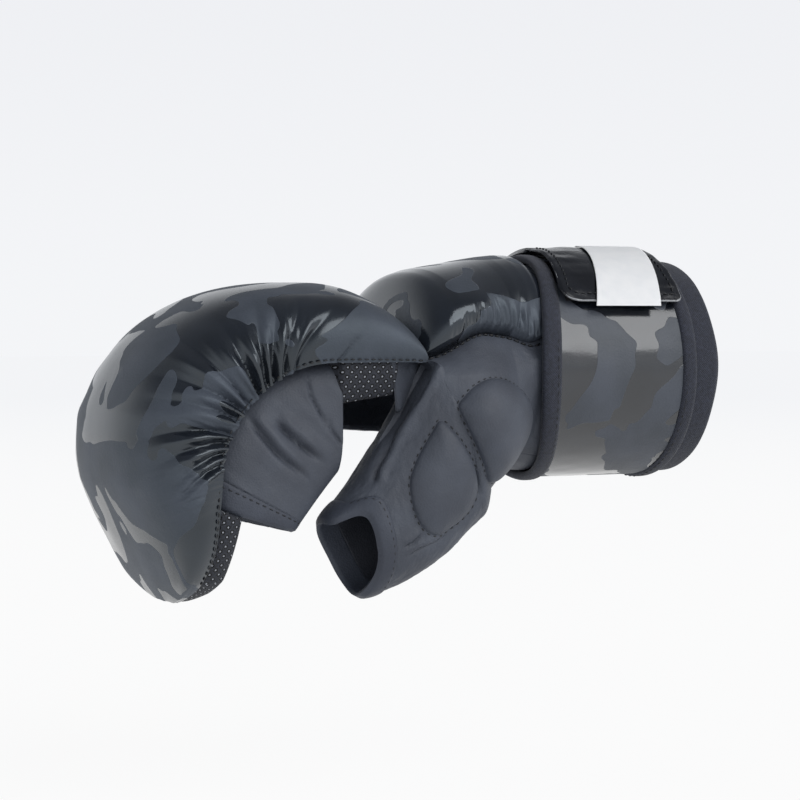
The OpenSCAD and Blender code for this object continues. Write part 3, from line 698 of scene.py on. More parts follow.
def sleeve_point(y, s, a, lift=0.0):
    """Point on the sleeve of the finger at y, s from the lining to the hem and a round it."""
    turn = SLEEVE_START + SLEEVE_TURN * s
    front = SLEEVE_R * np.stack([-sin_d(turn), cos_d(turn)], -1)
    back = np.stack([mix(first, last, s) for first, last in zip(PALM_START, PALM_END)], -1)
    gap = front - back
    half = np.linalg.norm(gap, axis=-1) / 2 + np.minimum(lift, 0)
    x, z = np.moveaxis(raised((front + back) / 2, unit(gap), half * spow(cos_d(a), SLEEVE_POWER)), -1, 0)
    return stack(FIST[0] + x, y + (SLEEVE_HALF + lift) * spow(sin_d(a), SLEEVE_POWER), FIST[2] + z)


def near_line(x, z, line):
    """Distance to a line in the side view, signed, and the share along it."""
    line = np.asarray(line, float)
    best, sign, share = np.full(x.shape, 1e9), np.zeros(x.shape), np.zeros(x.shape)
    for k, (p, q) in enumerate(zip(line[:-1], line[1:])):
        v = q - p
        u = np.clip(((x - p[0]) * v[0] + (z - p[1]) * v[1]) / (v @ v), 0, 1)
        dx, dz = x - p[0] - u * v[0], z - p[1] - u * v[1]
        far = np.hypot(dx, dz)
        hit = far < best
        best, sign = np.where(hit, far, best), np.where(hit, np.sign(v[0] * dz - v[1] * dx), sign)
        share = np.where(hit, (k + u) / (len(line) - 1), share)
    return best * np.where(sign == 0, 1, sign), share


def folds(x, z, lines, start, ridge, groove):
    """Height of folds along lines: a groove (depth, width, power) and a ridge (height, place, width)."""
    high = np.zeros(x.shape)
    for line in lines:
        gap, share = near_line(x, z, line)
        fade = smooth(share / start) * smooth((1 - share) / 0.3)
        high = high + fade * (ridge[0] * bell(gap - ridge[1], ridge[2]) - groove[0] * bell(gap, *groove[1:]))
    return high


print(len(FINGERS), "sleeves,", len(FOLDS), "folds")

# %% Four sleeves and their hems
HEM_START, HEM_END, HEM_SEAM = 1.012, 1.178, 1.045
FOLD_RIDGE, FOLD_GROOVE, GENTLER = (1.5, 2.6, 2.2), (1.9, 1.1), 0.35
AROUND = np.concatenate([np.arange(0, 200, 4.0), np.arange(200, 340, 1.6), np.arange(340, 360, 4.0)])
for k, (name, y) in enumerate(FINGERS.items()):
    shown = name == "index"
    S, A = grid(np.linspace(-0.09 if shown else 0.0, 1, 96), AROUND)
    base = sleeve_point(y, S, A)
    x, z = base[..., 0], base[..., 2]
    way = stack(0.0, sin_d(A), 0.0) + (base - base.mean((0, 1))) * 0.02
    n = normals(*(np.concatenate([g, g[:, :1]], 1) for g in (base, way)))[:, :-1]
    flank = np.abs(sin_d(A)) ** 3
    near = flank * (sin_d(A) < 0)
    push = folds(x, z, FOLDS, 0.25, FOLD_RIDGE, FOLD_GROOVE) * (1.0 if shown else GENTLER) * near
    push = push + 0.35 * noise(S * 9 + k * 7, A * 0.05, 40 + k) * flank
    if shown:
        gap = near_line(x, z, ENTRY_HEM)[0]
        push = push + (0.45 * smooth(-gap / 1.5) - bell(gap, 0.6)) * near
        push = push + 0.28 * noise(x * 0.35 + z * 0.35, z * 0.08 - x * 0.06, 77) * flank
    push = np.clip(push, -2.6, 2.8 if shown else 0.15) * smooth((S + 0.1) / 0.06)
    inner = raised(sleeve_point(y, S, A, -SLEEVE_T), n, np.minimum(push, 0))
    sheet(name + "_finger_sleeve", raised(base, n, push), inner, MATTE, "knuckles", (name + "_sleeve",), True)
    S, A = grid(np.linspace(HEM_START, HEM_END, 9), np.arange(0, 360, 2.5))
    swell = 0.15 + 0.3 * np.sin(np.pi * (S - HEM_START) / (HEM_END - HEM_START))
    sheet(name + "_finger_hem", sleeve_point(y, S, A, swell), sleeve_point(y, S, A, -SLEEVE_T),
          MATTE_HEM, "knuckles", (name + "_hem",), True, 0.5)
line = np.arange(205, 336, 2.0)
seam = sleeve_point(FINGERS["index"], np.full(line.shape, HEM_SEAM), line, 0.4)
sew("sleeve_stitches", [(seam, (0, -1, 0))], "knuckles", "matte_leather", pitch=2.6, length=1.6, radius=0.19)

# %% [markdown]
# ## The hand
# Four leather panels make the body of the glove: the back, the thumb side, the palm
# and the little-finger side. They start as a ring in the strap and flatten towards the
# knuckles, with a swell over the ball of the thumb. One surface cut in four would do,
# but as sheets of their own the panels have real edges and can be looked at one by one.

# %% Shape of the hand
WRIST_X, NECK_X, NECK_R, CREASE_X = -59.0, -56.5, 37.4, -116.0
THUMB_R, LITTLE_R, BACK_H, PALM_H, SINK = 44.0, 41.0, 10.0, 26.0, 2.0
BACK_START, BACK_END, THENAR_END, LITTLE_EDGE = 120.0, 240.0, 326.0, 40.0
BALL_SWELL, BALL_ANGLE, BALL_START, BALL_SPAN, BODY_POWER = 23.0, 325.0, 0.18, 0.92, 0.86
ARCH_H, ARCH_X, DROP_H, DROP_X, ARCH_L, ARCH_SPREAD = 5.8, -92, 5.5, -80, 13, 20
THUMB_MID, CREASE_TILT, CREASE_GAP = np.array([-103.0, -32.5, -25.0]), 21.0, 0.4


def hand_s(x):
    """Share of the way from the wrist to the knuckle crease."""
    return (x - NECK_X) / (CREASE_X - NECK_X)


def arch(x, a):
    """The seams of the back roll arch up in the middle and drop towards the wrist."""
    high = ARCH_H * bell(x - ARCH_X, ARCH_L) - DROP_H * smooth((x - DROP_X) / ARCH_L)
    return high * (bell(a - BACK_END, ARCH_SPREAD) + bell(a - BACK_START, ARCH_SPREAD))


def hand_point(s, a, lift=0.0):
    """Point on the hand, s from the wrist to the knuckle crease and a round it."""
    x = mix(NECK_X, CREASE_X, s)
    q = smooth(s)
    neck = np.sqrt(NECK_R ** 2 - np.minimum(np.abs(x - WRIST_X), 20) ** 2)
    side = np.where(sin_d(a) < 0, THUMB_R, LITTLE_R)
    back = mix(neck, BACK_H, 1 - (1 - np.clip(s, 0, 1)) ** 2)
    face = np.where(cos_d(a) > 0, mix(neck, PALM_H, q), back)
    ball = sin_d(180 * np.clip((s - BALL_START) / BALL_SPAN, 0, 1)) ** 1.5
    rise = lift + BALL_SWELL * ball * np.maximum(0, cos_d(a - BALL_ANGLE)) ** 2
    power = mix(1, BODY_POWER, q)
    return stack(x, (mix(neck, side, q) + rise) * spow(sin_d(a), power),
                 arch(x, a) - SINK * q - (face + rise) * spow(cos_d(a), power))


def hand_angle(s, z):
    """Angle on the thumb side where the hand has the height z."""
    low, high = np.full(np.shape(s), 200.0), np.full(np.shape(s), 345.0)
    for halving in range(40):
        mid = (low + high) / 2
        above = hand_point(s, mid)[..., 2] > z
        low, high = np.where(above, mid, low), np.where(above, high, mid)
    return (low + high) / 2


def crease_height(x):
    """Height of the thumb's crease on the thumb side."""
    return THUMB_MID[2] - (x - CREASE_GAP - THUMB_MID[0]) / math.tan(math.radians(CREASE_TILT))


print("the thumb's crease has the height", round(crease_height(-90.0), 1), "mm at x = -90 mm")

# %% The panels
PANEL_T, SEAM_GAP, PALM_REAR, PALM_FRONT, THENAR_FRONT = 2.2, 0.5, -57.8, -93.0, -112.6


def hand_panel(name, s, a, node, seed, rub=0.25):
    """A panel on the hand, a little uneven from wear."""
    outer, inner = hand_point(s, a), hand_point(s, a, -PANEL_T)
    worn = rub * noise(s * 14, a * 0.09, seed) + 0.12 * noise(s * 40, a * 0.3, seed + 1)
    outer = raised(outer, unit(outer - inner), worn)
    sheet(name, outer, inner, MATTE, "hand", (node,))
    return outer


whole = np.linspace(0, 1, 60)
hand_panel("back_of_hand", *grid(whole, np.linspace(BACK_START, BACK_END, 60)), "back_panel", 61)
hand_panel("palm", *grid(np.linspace(hand_s(PALM_REAR), hand_s(PALM_FRONT), 50),
                         np.linspace(THENAR_END + SEAM_GAP, 360 + LITTLE_EDGE, 60)), "palm_panel", 63)
hand_panel("little_finger_side", *grid(whole, np.linspace(LITTLE_EDGE + SEAM_GAP, BACK_START - SEAM_GAP, 50)),
           "little_side_panel", 65)
rows = np.linspace(0, hand_s(THENAR_FRONT), 110)
last = np.minimum(THENAR_END, hand_angle(rows, crease_height(mix(NECK_X, CREASE_X, rows))))
S, Q = grid(rows, np.linspace(0, 1, 110))
thenar_skin = hand_panel("thumb_side", S, mix(BACK_END + SEAM_GAP, last[:, None], Q), "thenar_panel", 67, 0.4)

# %% [markdown]
# ## The roll on the back of the hand
# A thick glossy roll protects the back. It is rolled off at both ends and gathered
# along both lower seams, where many short, tight puckers run up from the stitches. As
# with the pleats, formulas put the puckers at the seams, which a simulation may not.

# %% Shape of the back roll
STRAP_FRONT = -62.0
ROLL_FRONT, ROLL_REAR, ROLL_FAN = CREASE_X + 0.6, STRAP_FRONT + 1.6, 0.8
FRONT_ROUND, REAR_ROUND, ROLL_GAP = 11, 6, 0.5
CREST_X = [-115.5, -108, -101, -92, -84, -75, -70, -60]
CREST_Z = [30.0, 33.4, 35.6, 37.2, 38.6, 40.0, 40.5, 40.7]
PUCKERS, FIRST_PUCKER, LAST_PUCKER, DEEPEST_X = 21, -65, -110, -79
PUCKER_DEPTH, PUCKER_REACH, PUCKER_LEAN, PUCKER_WIDTH = (0.7, 1.3), (7, 12), (-0.22, 0.22), (0.5, 0.8)


def rolled(d, r):
    """A rounded end: 0 at the end and 1 from r on."""
    return np.sqrt(np.maximum(0, 1 - (1 - np.clip(d / r, 0, 1)) ** 2))


def back_rise(s, a):
    """How far the roll stands up from the hand."""
    x = mix(NECK_X, CREASE_X, s)
    body = np.interp(x, CREST_X, CREST_Z) - hand_point(s, np.full(np.shape(s), 180.0), ROLL_GAP)[..., 2]
    share = np.clip((a - BACK_START) / (BACK_END - BACK_START), 0, 1)
    ends = rolled(x - ROLL_FRONT, FRONT_ROUND) * rolled(ROLL_REAR - x, REAR_ROUND)
    return body * np.maximum(0, sin_d(180 * share)) ** 0.45 * mix(0.15, 1, ends)


def puckers(x, t, seed):
    """Upright folds above a lower seam, t millimetres up, longest in the rear half."""
    rng = np.random.default_rng(seed)
    high = np.zeros(np.shape(x))
    for place in np.linspace(FIRST_PUCKER, LAST_PUCKER, PUCKERS) + rng.uniform(-0.7, 0.7, PUCKERS):
        rear = bell(place - DEEPEST_X, 11)
        depth = rng.uniform(*PUCKER_DEPTH) * (1 + 1.1 * rear)
        reach = rng.uniform(*PUCKER_REACH) * (1 + 0.9 * rear)
        u = (x - place - rng.uniform(*PUCKER_LEAN) * t) / (rng.uniform(*PUCKER_WIDTH) + 0.045 * t)
        fade = np.clip(1 - t / reach, 0, 1) ** 1.2 * (1 - 0.7 * np.exp(-(t + 0.3)))
        high = high + depth * fade * (0.4 * bell(u - 1.9, 1.0) - bell(u, 1.0, 1.3))
    return high + noise(x * 1.3, t * 0.1, seed + 1) * 0.8 * bell(t, 7) * smooth((t + 0.5) / 3)


print(PUCKERS, "puckers along each seam")

# %% The back roll
ROLL_LOW, ROLL_HIGH, ROLL_PER_DEGREE = BACK_START + 2, BACK_END - 2, 1.15
X, A = grid(spans((-60.5, -66, 18), (-66, -108, 190), (-108, -115.4, 22)),
            spans((ROLL_LOW, 144, 52), (144, 216, 54), (216, ROLL_HIGH, 52)))
base = hand_point(hand_s(X), A, ROLL_GAP)
lift = puckers(X, (ROLL_HIGH - A) * ROLL_PER_DEGREE, 81) + puckers(X, (A - ROLL_LOW) * ROLL_PER_DEGREE, 85)
lift = lift * smooth((-61 - X) / 3) * smooth((X + 112) / 12) + 0.5 * noise(X * 0.09, A * 0.04, 87)
fan = 180 + (A - 180) * ROLL_FAN
roll = raised(base, stack(0.0, sin_d(fan), -cos_d(fan)), back_rise(hand_s(X), A) + lift)
back_roll = tube("back_roll", np.concatenate([roll, base[:, ::-1][:, 2:-2:4]], 1), CAMO_ROLL, None,
                 ("back_pad_skin", "back_pad_foam"), 0.6, 75)
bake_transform(back_roll)

# %% [markdown]
# ## The thumb
# The thumb sleeve is one outer panel that wraps round the thumb and an inner panel on
# the palm side. Its mouth is cut back on the near side and bound by a broad hem. A
# sleeve that moved as a whole would be simpler, but it would tear off at the crease. So
# the outer panel starts on the thumb side of the hand: it follows the hand at the
# crease and the thumb a little further on. It is drawn in this pose, on no body.

# %% Shape of the thumb
THUMB_L, MOUTH_TILT, THUMB_SLOPE, THUMB_POWER = 58.5, 32.0, 43.5, 0.86
ROOT_HALVES, MOUTH_HALF, THUMB_SAG = (29.0, 17.0), 14.0, 5
HAND_PART, HEEL_Z, HEEL_FADE = 0.55, -46, 12
MOUTH_TURNS = [0, 40, 90, 140, 180, 200, 215, 230, 240, 250, 260, 270, 280, 290, 300, 310, 320, 330, 340, 360]
MOUTH_LEFT = [0.9, 0.9, 0.9, 0.93, 0.965, 0.98, 0.955, 0.9, 0.855, 0.81,
              0.77, 0.735, 0.71, 0.695, 0.69, 0.7, 0.76, 0.84, 0.895, 0.9]


def mouth_cut(a):
    """How much of the sleeve's length is left at the angle a: it is cut back on the near side."""
    around = [np.mod(np.asarray(a) + k, 360) for k in (-8, -4, 0, 4, 8)]
    return sum(np.interp(turn, MOUTH_TURNS, MOUTH_LEFT) for turn in around) / len(around)


def thumb_point(t, a, lift=0.0):
    """Point on the thumb, t from its crease to its mouth and a round it."""
    s = t * mouth_cut(a)
    tilt, slope = mix(CREASE_TILT, MOUTH_TILT, s), math.radians(THUMB_SLOPE)
    wide, deep = (mix(half, MOUTH_HALF, s) + lift for half in ROOT_HALVES)
    reach = wide * spow(cos_d(a), THUMB_POWER)
    sag = THUMB_SAG * sin_d(180 * np.clip(s, 0, 1))
    x = THUMB_MID[0] - math.cos(slope) * THUMB_L * s - sin_d(tilt) * reach
    z = THUMB_MID[2] - math.sin(slope) * THUMB_L * s - sag + cos_d(tilt) * reach
    return stack(x, THUMB_MID[1] + deep * spow(sin_d(a), THUMB_POWER), z)


def on_hand(points, lift):
    """Where the thumb side of the hand lies at the same place in the side view."""
    s = hand_s(points[..., 0])
    return hand_point(s, hand_angle(s, points[..., 2]), lift)[..., 1]


def thumb_skin(t, a, lift=0.0):
    """The thumb's outer panel, whose start lies on the thumb side of the hand."""
    first = thumb_point(np.zeros_like(t), a, lift)
    above_heel = smooth((first[..., 2] - HEEL_Z) / HEEL_FADE)
    near = smooth(-sin_d(a) / 0.35) * above_heel * (1 - smooth(t / HAND_PART))
    return thumb_point(t, a, lift) + stack(0.0, (on_hand(first, lift) - first[..., 1]) * near, 0.0)


print("the thumb is", THUMB_L, "mm long, with", min(MOUTH_LEFT), "of that left where its mouth is cut back")

# %% The thumb's panels
HEM_W, HEM_GAP = 9.0, 0.004
HEM_T = 1 - HEM_W / THUMB_L
WEB_SEAM = [(-113.2, 2.6), (-118.2, -6.1), (-122, -12.8), (-126.1, -19.8),
            (-129.7, -26.9), (-133.1, -32.2), (-134.9, -36.9)]
CREASES = [[(-126.5, -59.4), (-122.2, -57.4), (-118.4, -53.9)],
           [(-126.4, -63.4), (-119.2, -59.7), (-113.5, -57.9), (-107.2, -54.6)],
           [(-120.7, -12.5), (-117.7, -7.1), (-113.7, 0.1)]]
CREASE_RIDGE, CREASE_GROOVE = (0.6, 1.6, 1.3), (0.9, 0.6, 1.4)
T, A = grid(np.concatenate([[-0.03], np.linspace(0, HEM_T - HEM_GAP, 150)]), np.linspace(158, 382, 250))
outer, inner = thumb_skin(T, A), thumb_skin(T, A, -PANEL_T)
x, z = outer[..., 0], outer[..., 2]
gap, share = near_line(x, z, WEB_SEAM)
lift = (0.9 * bell(gap - 1.8, 1.2) - 1.9 * bell(gap, 0.65, 1.5)) * smooth((1.02 - share) / 0.1)
lift = (lift + folds(x, z, CREASES, 0.3, CREASE_RIDGE, CREASE_GROOVE)) * (sin_d(A) < -0.05)
lift = lift + 0.5 * noise(T * 8, A * 0.06, 91) + 0.2 * noise(T * 30, A * 0.2, 92)
thumb_front = raised(outer, normals(outer, outer - inner), lift)
thumb_panel = sheet("thumb_panel", thumb_front, inner, MATTE, None, ("thumb_sleeve",))
T, A = grid(np.linspace(0.5, HEM_T - HEM_GAP, 40), np.linspace(22.5, 157.5, 60))
# The thumb's palm side lies in shade and gets the darker copy of the plain leather: painted shade.
sheet("thumb_palm_side", thumb_point(T, A), thumb_point(T, A, -PANEL_T),
      MATTE_SHADED, "thumb", ("thumb_inner_panel",))

# %% The thumb's hem
T, A = grid(np.linspace(HEM_T, 1.0, 12), np.arange(0, 360, 2.0))
swell = 0.3 + 0.5 * np.sin(np.pi * (T - HEM_T) / (1 - HEM_T)) ** 0.6
sheet("thumb_mouth_hem", thumb_point(T, A, swell), thumb_point(T, A, -PANEL_T),
      MATTE_HEM, "thumb", ("thumb_hem",), True, 0.5)
line = np.arange(205, 340, 1.5)
seam = thumb_point(np.full(line.shape, HEM_T + 0.03), line, 0.55)
sew("thumb_hem_stitches", [(seam, stack(0.0, sin_d(line), cos_d(line)))],
    "thumb", "matte_leather", pitch=2.6, length=1.6, radius=0.2)

# %% [markdown]
# ## Two stitched pads
# A drop-shaped pad on the thumb and a rounder one beside it on the ball of the thumb
# are sewn down all round. Their outlines are drawn in the side view, laid on the
# panels by casting rays at them, and raised to a soft crown inside the stitches. A
# shrinkwrap modifier would lay them on too, but they would take on every crease below.

# %% Outlines on the panels
THUMB_PAD = [(-113, -16), (-116, -19.6), (-119.2, -25), (-122.3, -31), (-124.3, -36.9), (-123.9, -42.9),
             (-121.9, -49), (-118.5, -53.9), (-113.1, -55.8), (-107.3, -53.3), (-101.6, -49.3),
             (-98.2, -44.5), (-97.6, -39.6), (-99.8, -33.3), (-103.6, -27), (-108.2, -20.6)]
HEEL_PAD = [(-107.6, -11.6), (-105.6, -8.3), (-102.3, -5.3), (-97.7, -3), (-92.8, -2.1), (-86.8, -2.9),
            (-80.5, -5.4), (-75.2, -9.1), (-71.8, -13.6), (-70.2, -18.8), (-70.6, -24), (-73.6, -28.8),
            (-79, -33.2), (-86, -37), (-93, -38.6), (-98.1, -31.6), (-101.8, -25), (-105.0, -18.4)]
PANELS = BVHTree.FromPolygons(
    [Vector(p) for panel in (thenar_skin, thumb_front) for p in panel.reshape(-1, 3)],
    quads(*thenar_skin.shape[:2]) + quads(*thumb_front.shape[:2], False, thenar_skin[..., 0].size))


def closed_curve(points, count):
    """A smooth closed curve through the points."""
    p = np.asarray(points, float)
    u = np.linspace(0, len(p), count, endpoint=False)
    i = np.floor(u).astype(int)
    f = (u - i)[:, None]
    a, b, c, d = (p[(i + k) % len(p)] for k in (-1, 0, 1, 2))
    square, cube = 2 * a - 5 * b + 4 * c - d, 3 * b - a - 3 * c + d
    return 0.5 * (2 * b + (c - a) * f + square * f ** 2 + cube * f ** 3)


def panel_y(x, z):
    """Where rays along +Y meet the panels, or no number where they miss."""
    hits = [PANELS.ray_cast(Vector((u, -120, v)), Vector((0, 1, 0)))[0] for u, v in zip(x.flat, z.flat)]
    return np.array([hit[1] if hit else np.nan for hit in hits]).reshape(x.shape)


def bowl(x, z, y):
    """A smooth surface fitted to scattered heights, and its slopes along x and z."""
    ok = ~np.isnan(y)
    cx, cz = x[ok].mean(), z[ok].mean()
    powers = [(i, j) for i in range(4) for j in range(4 - i)]
    terms = lambda u, v: np.stack([((u - cx) / 20) ** i * ((v - cz) / 20) ** j for i, j in powers], -1)
    fit = np.linalg.lstsq(terms(x[ok], z[ok]), y[ok], rcond=None)[0]
    at = lambda u, v: terms(u, v) @ fit
    return at(x, z), at(x + 0.5, z) - at(x - 0.5, z), at(x, z + 0.5) - at(x, z - 0.5)


print("outlines of", len(THUMB_PAD), "and", len(HEEL_PAD), "points")

# %% The pads
PAD_UNDER, PAD_GROOVE, GROOVE_W, THREAD_UP = 1.2, 0.9, 0.045, 0.75


def stitched_pad(name, outline, height, node, body):
    """A pad on the panels, and the seam round it."""
    edge = closed_curve(outline, 160)
    middle = edge.mean(0)
    R, K = grid(np.linspace(0, 1, 44) ** 0.8, np.arange(len(edge)))
    x, z = np.moveaxis(middle + (edge - middle)[K.astype(int)] * R[..., None], -1, 0)
    hits = panel_y(x, z)
    even, slope_x, slope_z = bowl(x, z, hits)
    hits = np.where(np.isnan(hits), even, hits)
    proud = np.clip(np.max((even - hits)[R < 0.85]), 0, 1.6)
    base = stack(x, mix(even - proud, hits, R ** 7), z)
    way = unit(stack(slope_x, -1.0, slope_z))
    crown = height * (1 - R ** 3.2) ** 0.75 - PAD_GROOVE * bell(1 - R, GROOVE_W)
    top = raised(base, way, crown + 0.3 * noise(x * 0.12, z * 0.12, 7) * (1 - R))
    shell = np.concatenate([top, (base - way * PAD_UNDER)[::-1]])
    ob = piece(name, shell, quads(*shell.shape[:2], True), MATTE, body, (node,), 70)
    all_round = np.arange(len(edge) + 1) % len(edge)
    return ob, ((top + way * THREAD_UP)[-1][all_round], way[-1][all_round])


PAD_SEWING = {"slot": "matte_leather", "pitch": 2.7, "length": 1.8, "radius": 0.28}
heel_seam = stitched_pad("heel_pad", HEEL_PAD, 4.2, "thenar_pad", "hand")[1]
thumb_pad, thumb_seam = stitched_pad("thumb_stitched_pad", THUMB_PAD, 3.4, "thumb_pad", None)
sew("heel_pad_stitches", [heel_seam], "hand", **PAD_SEWING)
thumb_stitches = sew("thumb_pad_stitches", [thumb_seam], None, **PAD_SEWING)

# %% [markdown]
# ## Gussets
# Two small pieces of leather close the glove where it bends: one under the heel of the
# thumb and one in the web beside the index finger. Each is drawn as straight lines
# between two edges, with a slight sag. On one body they would leave a gap when the
# other moves, so they are drawn in this pose on no body, as the thumb's outer panel is.

# %% Heel gusset
GUSSET_START, GUSSET_END, PALM_X, PALM_A = 158.0, 256.0, -77.0, 347.0
GUSSET_SAG, GUSSET_T, SAG_WAY = 3.5, 1.4, np.array([0.0, -0.35, -1.0])
A, U = grid(np.linspace(GUSSET_START, GUSSET_END, 50), np.linspace(0, 1, 30))
k = (A - GUSSET_START) / (GUSSET_END - GUSSET_START)
meet = thumb_skin(np.array([0.0]), np.array([GUSSET_END]))[0]
meet_a = float(hand_angle(np.array(hand_s(meet[0])), np.array(meet[2])))
on_thumb = thumb_skin(np.zeros_like(A), A)
on_palm = hand_point(hand_s(mix(PALM_X, meet[0] + 1.5, k ** 1.5)), mix(PALM_A, meet_a, k), 0.5)
gusset = raised(mix(on_thumb, on_palm, U[..., None]), SAG_WAY, GUSSET_SAG * sin_d(180 * U) * (1 - k ** 2))
heel_gusset = sheet("heel_gusset", gusset, gusset - unit(SAG_WAY) * GUSSET_T, MATTE)
crease_way = np.array([-cos_d(CREASE_TILT), 0, -sin_d(CREASE_TILT)])
for ob in (thumb_panel, thumb_pad, thumb_stitches):
    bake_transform(ob)
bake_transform(heel_gusset)

# %% Web strip
WEB = np.array([[(-129.0, -44.8, 4.8), (-112.5, -32.8, 4.6)],
                [(-123.4, -37.0, -13.5), (-121.6, -36.6, -13.0)]])
X, Q = grid(np.linspace(0, 1, 24), np.linspace(0, 1, 30))
top, low = (mix(*ends, X[..., None]) for ends in WEB)
strip = raised(mix(top, low, Q[..., None]), np.array([-0.3, -0.9, 0.0]), sin_d(180 * X) * (1 - 0.6 * Q))
web_strip = sheet("web_strip", strip, strip + np.array([0, 1.5, 0.3]), MATTE)
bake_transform(web_strip)

# %% [markdown]
# ## The cuff
# The padded cuff is a lathe shape: a mesh-lined bore, a soft wall and a rear rim rolled
# in woven tape. A second bound edge lies on the wall just behind the strap. A screw
# modifier turns a profile into a ring too, but a perfect one. These waver a little,
# because they are cloth. A gusset joins the cuff to the hand, drawn in this pose on no body.

# %% Rings round the forearm
def ring_points(x, r, b):
    """Points by their place along the forearm, radius and angle."""
    return stack(x, r * sin_d(b), -r * cos_d(b))


def pill(x0, x1, r0, r1, count, power):
    """A rounded-box profile of (x, r) points."""
    t = np.arange(count) * 360 / count
    return np.stack([(x0 + x1) / 2 + (x1 - x0) / 2 * spow(cos_d(t), power),
                     (r0 + r1) / 2 + (r1 - r0) / 2 * spow(sin_d(t), power)], -1)


def closed_ring(name, profile, material, nodes, seed, wobble):
    """A profile carried all the way round the forearm."""
    turn = np.arange(0, 362, 2.0)[:, None]
    wave = 0.5 * wobble * (sin_d(turn * 3 + seed) + sin_d(turn * 7 + 2 * seed))
    rings = ring_points(profile[:, 0] + wave, profile[:, 1], turn)
    return piece(name, rings, quads(*rings.shape[:2], True), material, "cuff", nodes, 60)


print("a rounded box of 4 points:", pill(-1, 1, 30, 32, 4, 0.6).round(2).tolist())

# %% The cuff's layers
BORE_R, WALL_R, WALL_OUT, CUFF_FRONT = 30.0, 31.3, 37.6, -50
GUSSET_X, GUSSET_R = (-49.4, -59.6), (33.0, 34.2)
wall = closed_ring("cuff_wall", pill(CUFF_FRONT, 0.5, WALL_R, WALL_OUT, 60, 0.35), MATTE,
                   ("cuff_foam", "cuff_skin"), 3, 0.1)
closed_ring("cuff_bore_lining", pill(CUFF_FRONT, 0.2, BORE_R, WALL_R - 0.1, 30, 0.4), MESH_BORE,
            ("cuff_lining",), 4, 0.05)
closed_ring("cuff_rim", pill(-2.5, 4.6, BORE_R + 0.1, 38.0, 44, 0.75), TAPE, ("cuff_rim_binding",), 8, 0.5)
closed_ring("cuff_edge_tape", pill(-7.5, 2.4, 37.8, 39.1, 30, 0.5), TAPE, ("cuff_edge_binding",), 14, 0.4)
S, A = grid(np.linspace(0, 1, 10), np.arange(0, 360, 3.0))
X, R = mix(*GUSSET_X, S), mix(*GUSSET_R, S) + 0.3 * noise(A * 0.1, S * 3, 19)
wrist_gusset = sheet("wrist_gusset", ring_points(X, R, A), ring_points(X, R - 1.0, A), MATTE, wrap=True)
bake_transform(wrist_gusset)

# %% [markdown]
# ## The strap
# The strap is a camouflage band with bound edges. Its sewn half covers the thumb side
# and its free half the other side, and its front edge bows forward at the sides of the
# wrist. The closing tab lies on loop tape at the top, with a blank label on it. Flat
# bands bent by a modifier would do as well. Drawn round the forearm, all layers share
# one bow and lie close on each other.

# %% Shape of the strap
STRAP_R, STRAP_OUT, BINDING_OUT, BINDING_W = 37.8, 40.0, 40.8, 5.0
STRAP_REAR, BAND_FRONT, BAND_REAR = -7.0, -56.8, -12.2
STRAP_HINGE, TAB_HINGE, PATCH_START, HINGE_GAP = 30.0, 178.0, 118.0, 0.5
BOW_MEAN, BOW_SWING, SIDE = -1.2, -4.8, 270
SEWN = (TAB_HINGE + HINGE_GAP, 360 + STRAP_HINGE - HINGE_GAP)
FREE = (STRAP_HINGE + HINGE_GAP, TAB_HINGE - HINGE_GAP)


def bow(x, b):
    """How far the strap's front edge runs forward at the sides of the wrist."""
    share = np.clip((STRAP_REAR - x) / (STRAP_REAR - STRAP_FRONT), 0, 1.1)
    return (BOW_MEAN + BOW_SWING * cos_d(2 * (b - SIDE))) * share ** 1.6


def ripple(x, b, seed):
    """How uneven a band lies, in coarse and fine waves."""
    return noise(b * 0.06, x * 0.05, seed) + 0.5 * noise(b * 0.2, x * 0.12, seed + 1)


def band(name, radii, ends, turn, material, body, node, seed, rub=0.25, corners=(0.0, 0.0), skew=0.0):
    """A curved sheet round the forearm, with rounded corners at its last angle if asked."""
    (r0, r1), (x0, x1), (b0, b1) = radii, ends, turn
    B, Q = grid(np.linspace(b0, b1, max(30, int(b1 - b0))), np.linspace(0, 1, 60))
    left = np.radians(b1 - B) * r1
    cut = [c * (1 - np.sqrt(1 - np.clip(1 - left / max(c, 1e-6), 0, 1) ** 2)) for c in corners]
    x = mix(x0 + cut[0], x1 - cut[1], Q) + skew * (b1 - B) / (b1 - b0)
    wave = rub * ripple(x, B, seed)
    x = x + bow(x, B)
    return sheet(name, ring_points(x, r1 + wave, B), ring_points(x, r0, B), material, body, (node,), rim=0.5)


def binding(name, x0, x1, turn, body, node, seed):
    """A tape folded round an edge of the strap."""
    profile = pill(x0, x1, STRAP_R, BINDING_OUT + 0.3, 26, 0.75)
    B, x = grid(np.linspace(*turn, int((turn[1] - turn[0]) / 1.2)), profile[:, 0])
    r = profile[:, 1] + 0.4 * noise(B * 0.045, x * 0.08, seed)
    x = x + 0.6 * noise(B * 0.03, r * 0.01, seed + 1)
    return tube(name, ring_points(x + bow(x, B), r, B), TAPE, body, (node,))


print("the sewn half covers", SEWN[1] - SEWN[0], "degrees and the free half", FREE[1] - FREE[0])

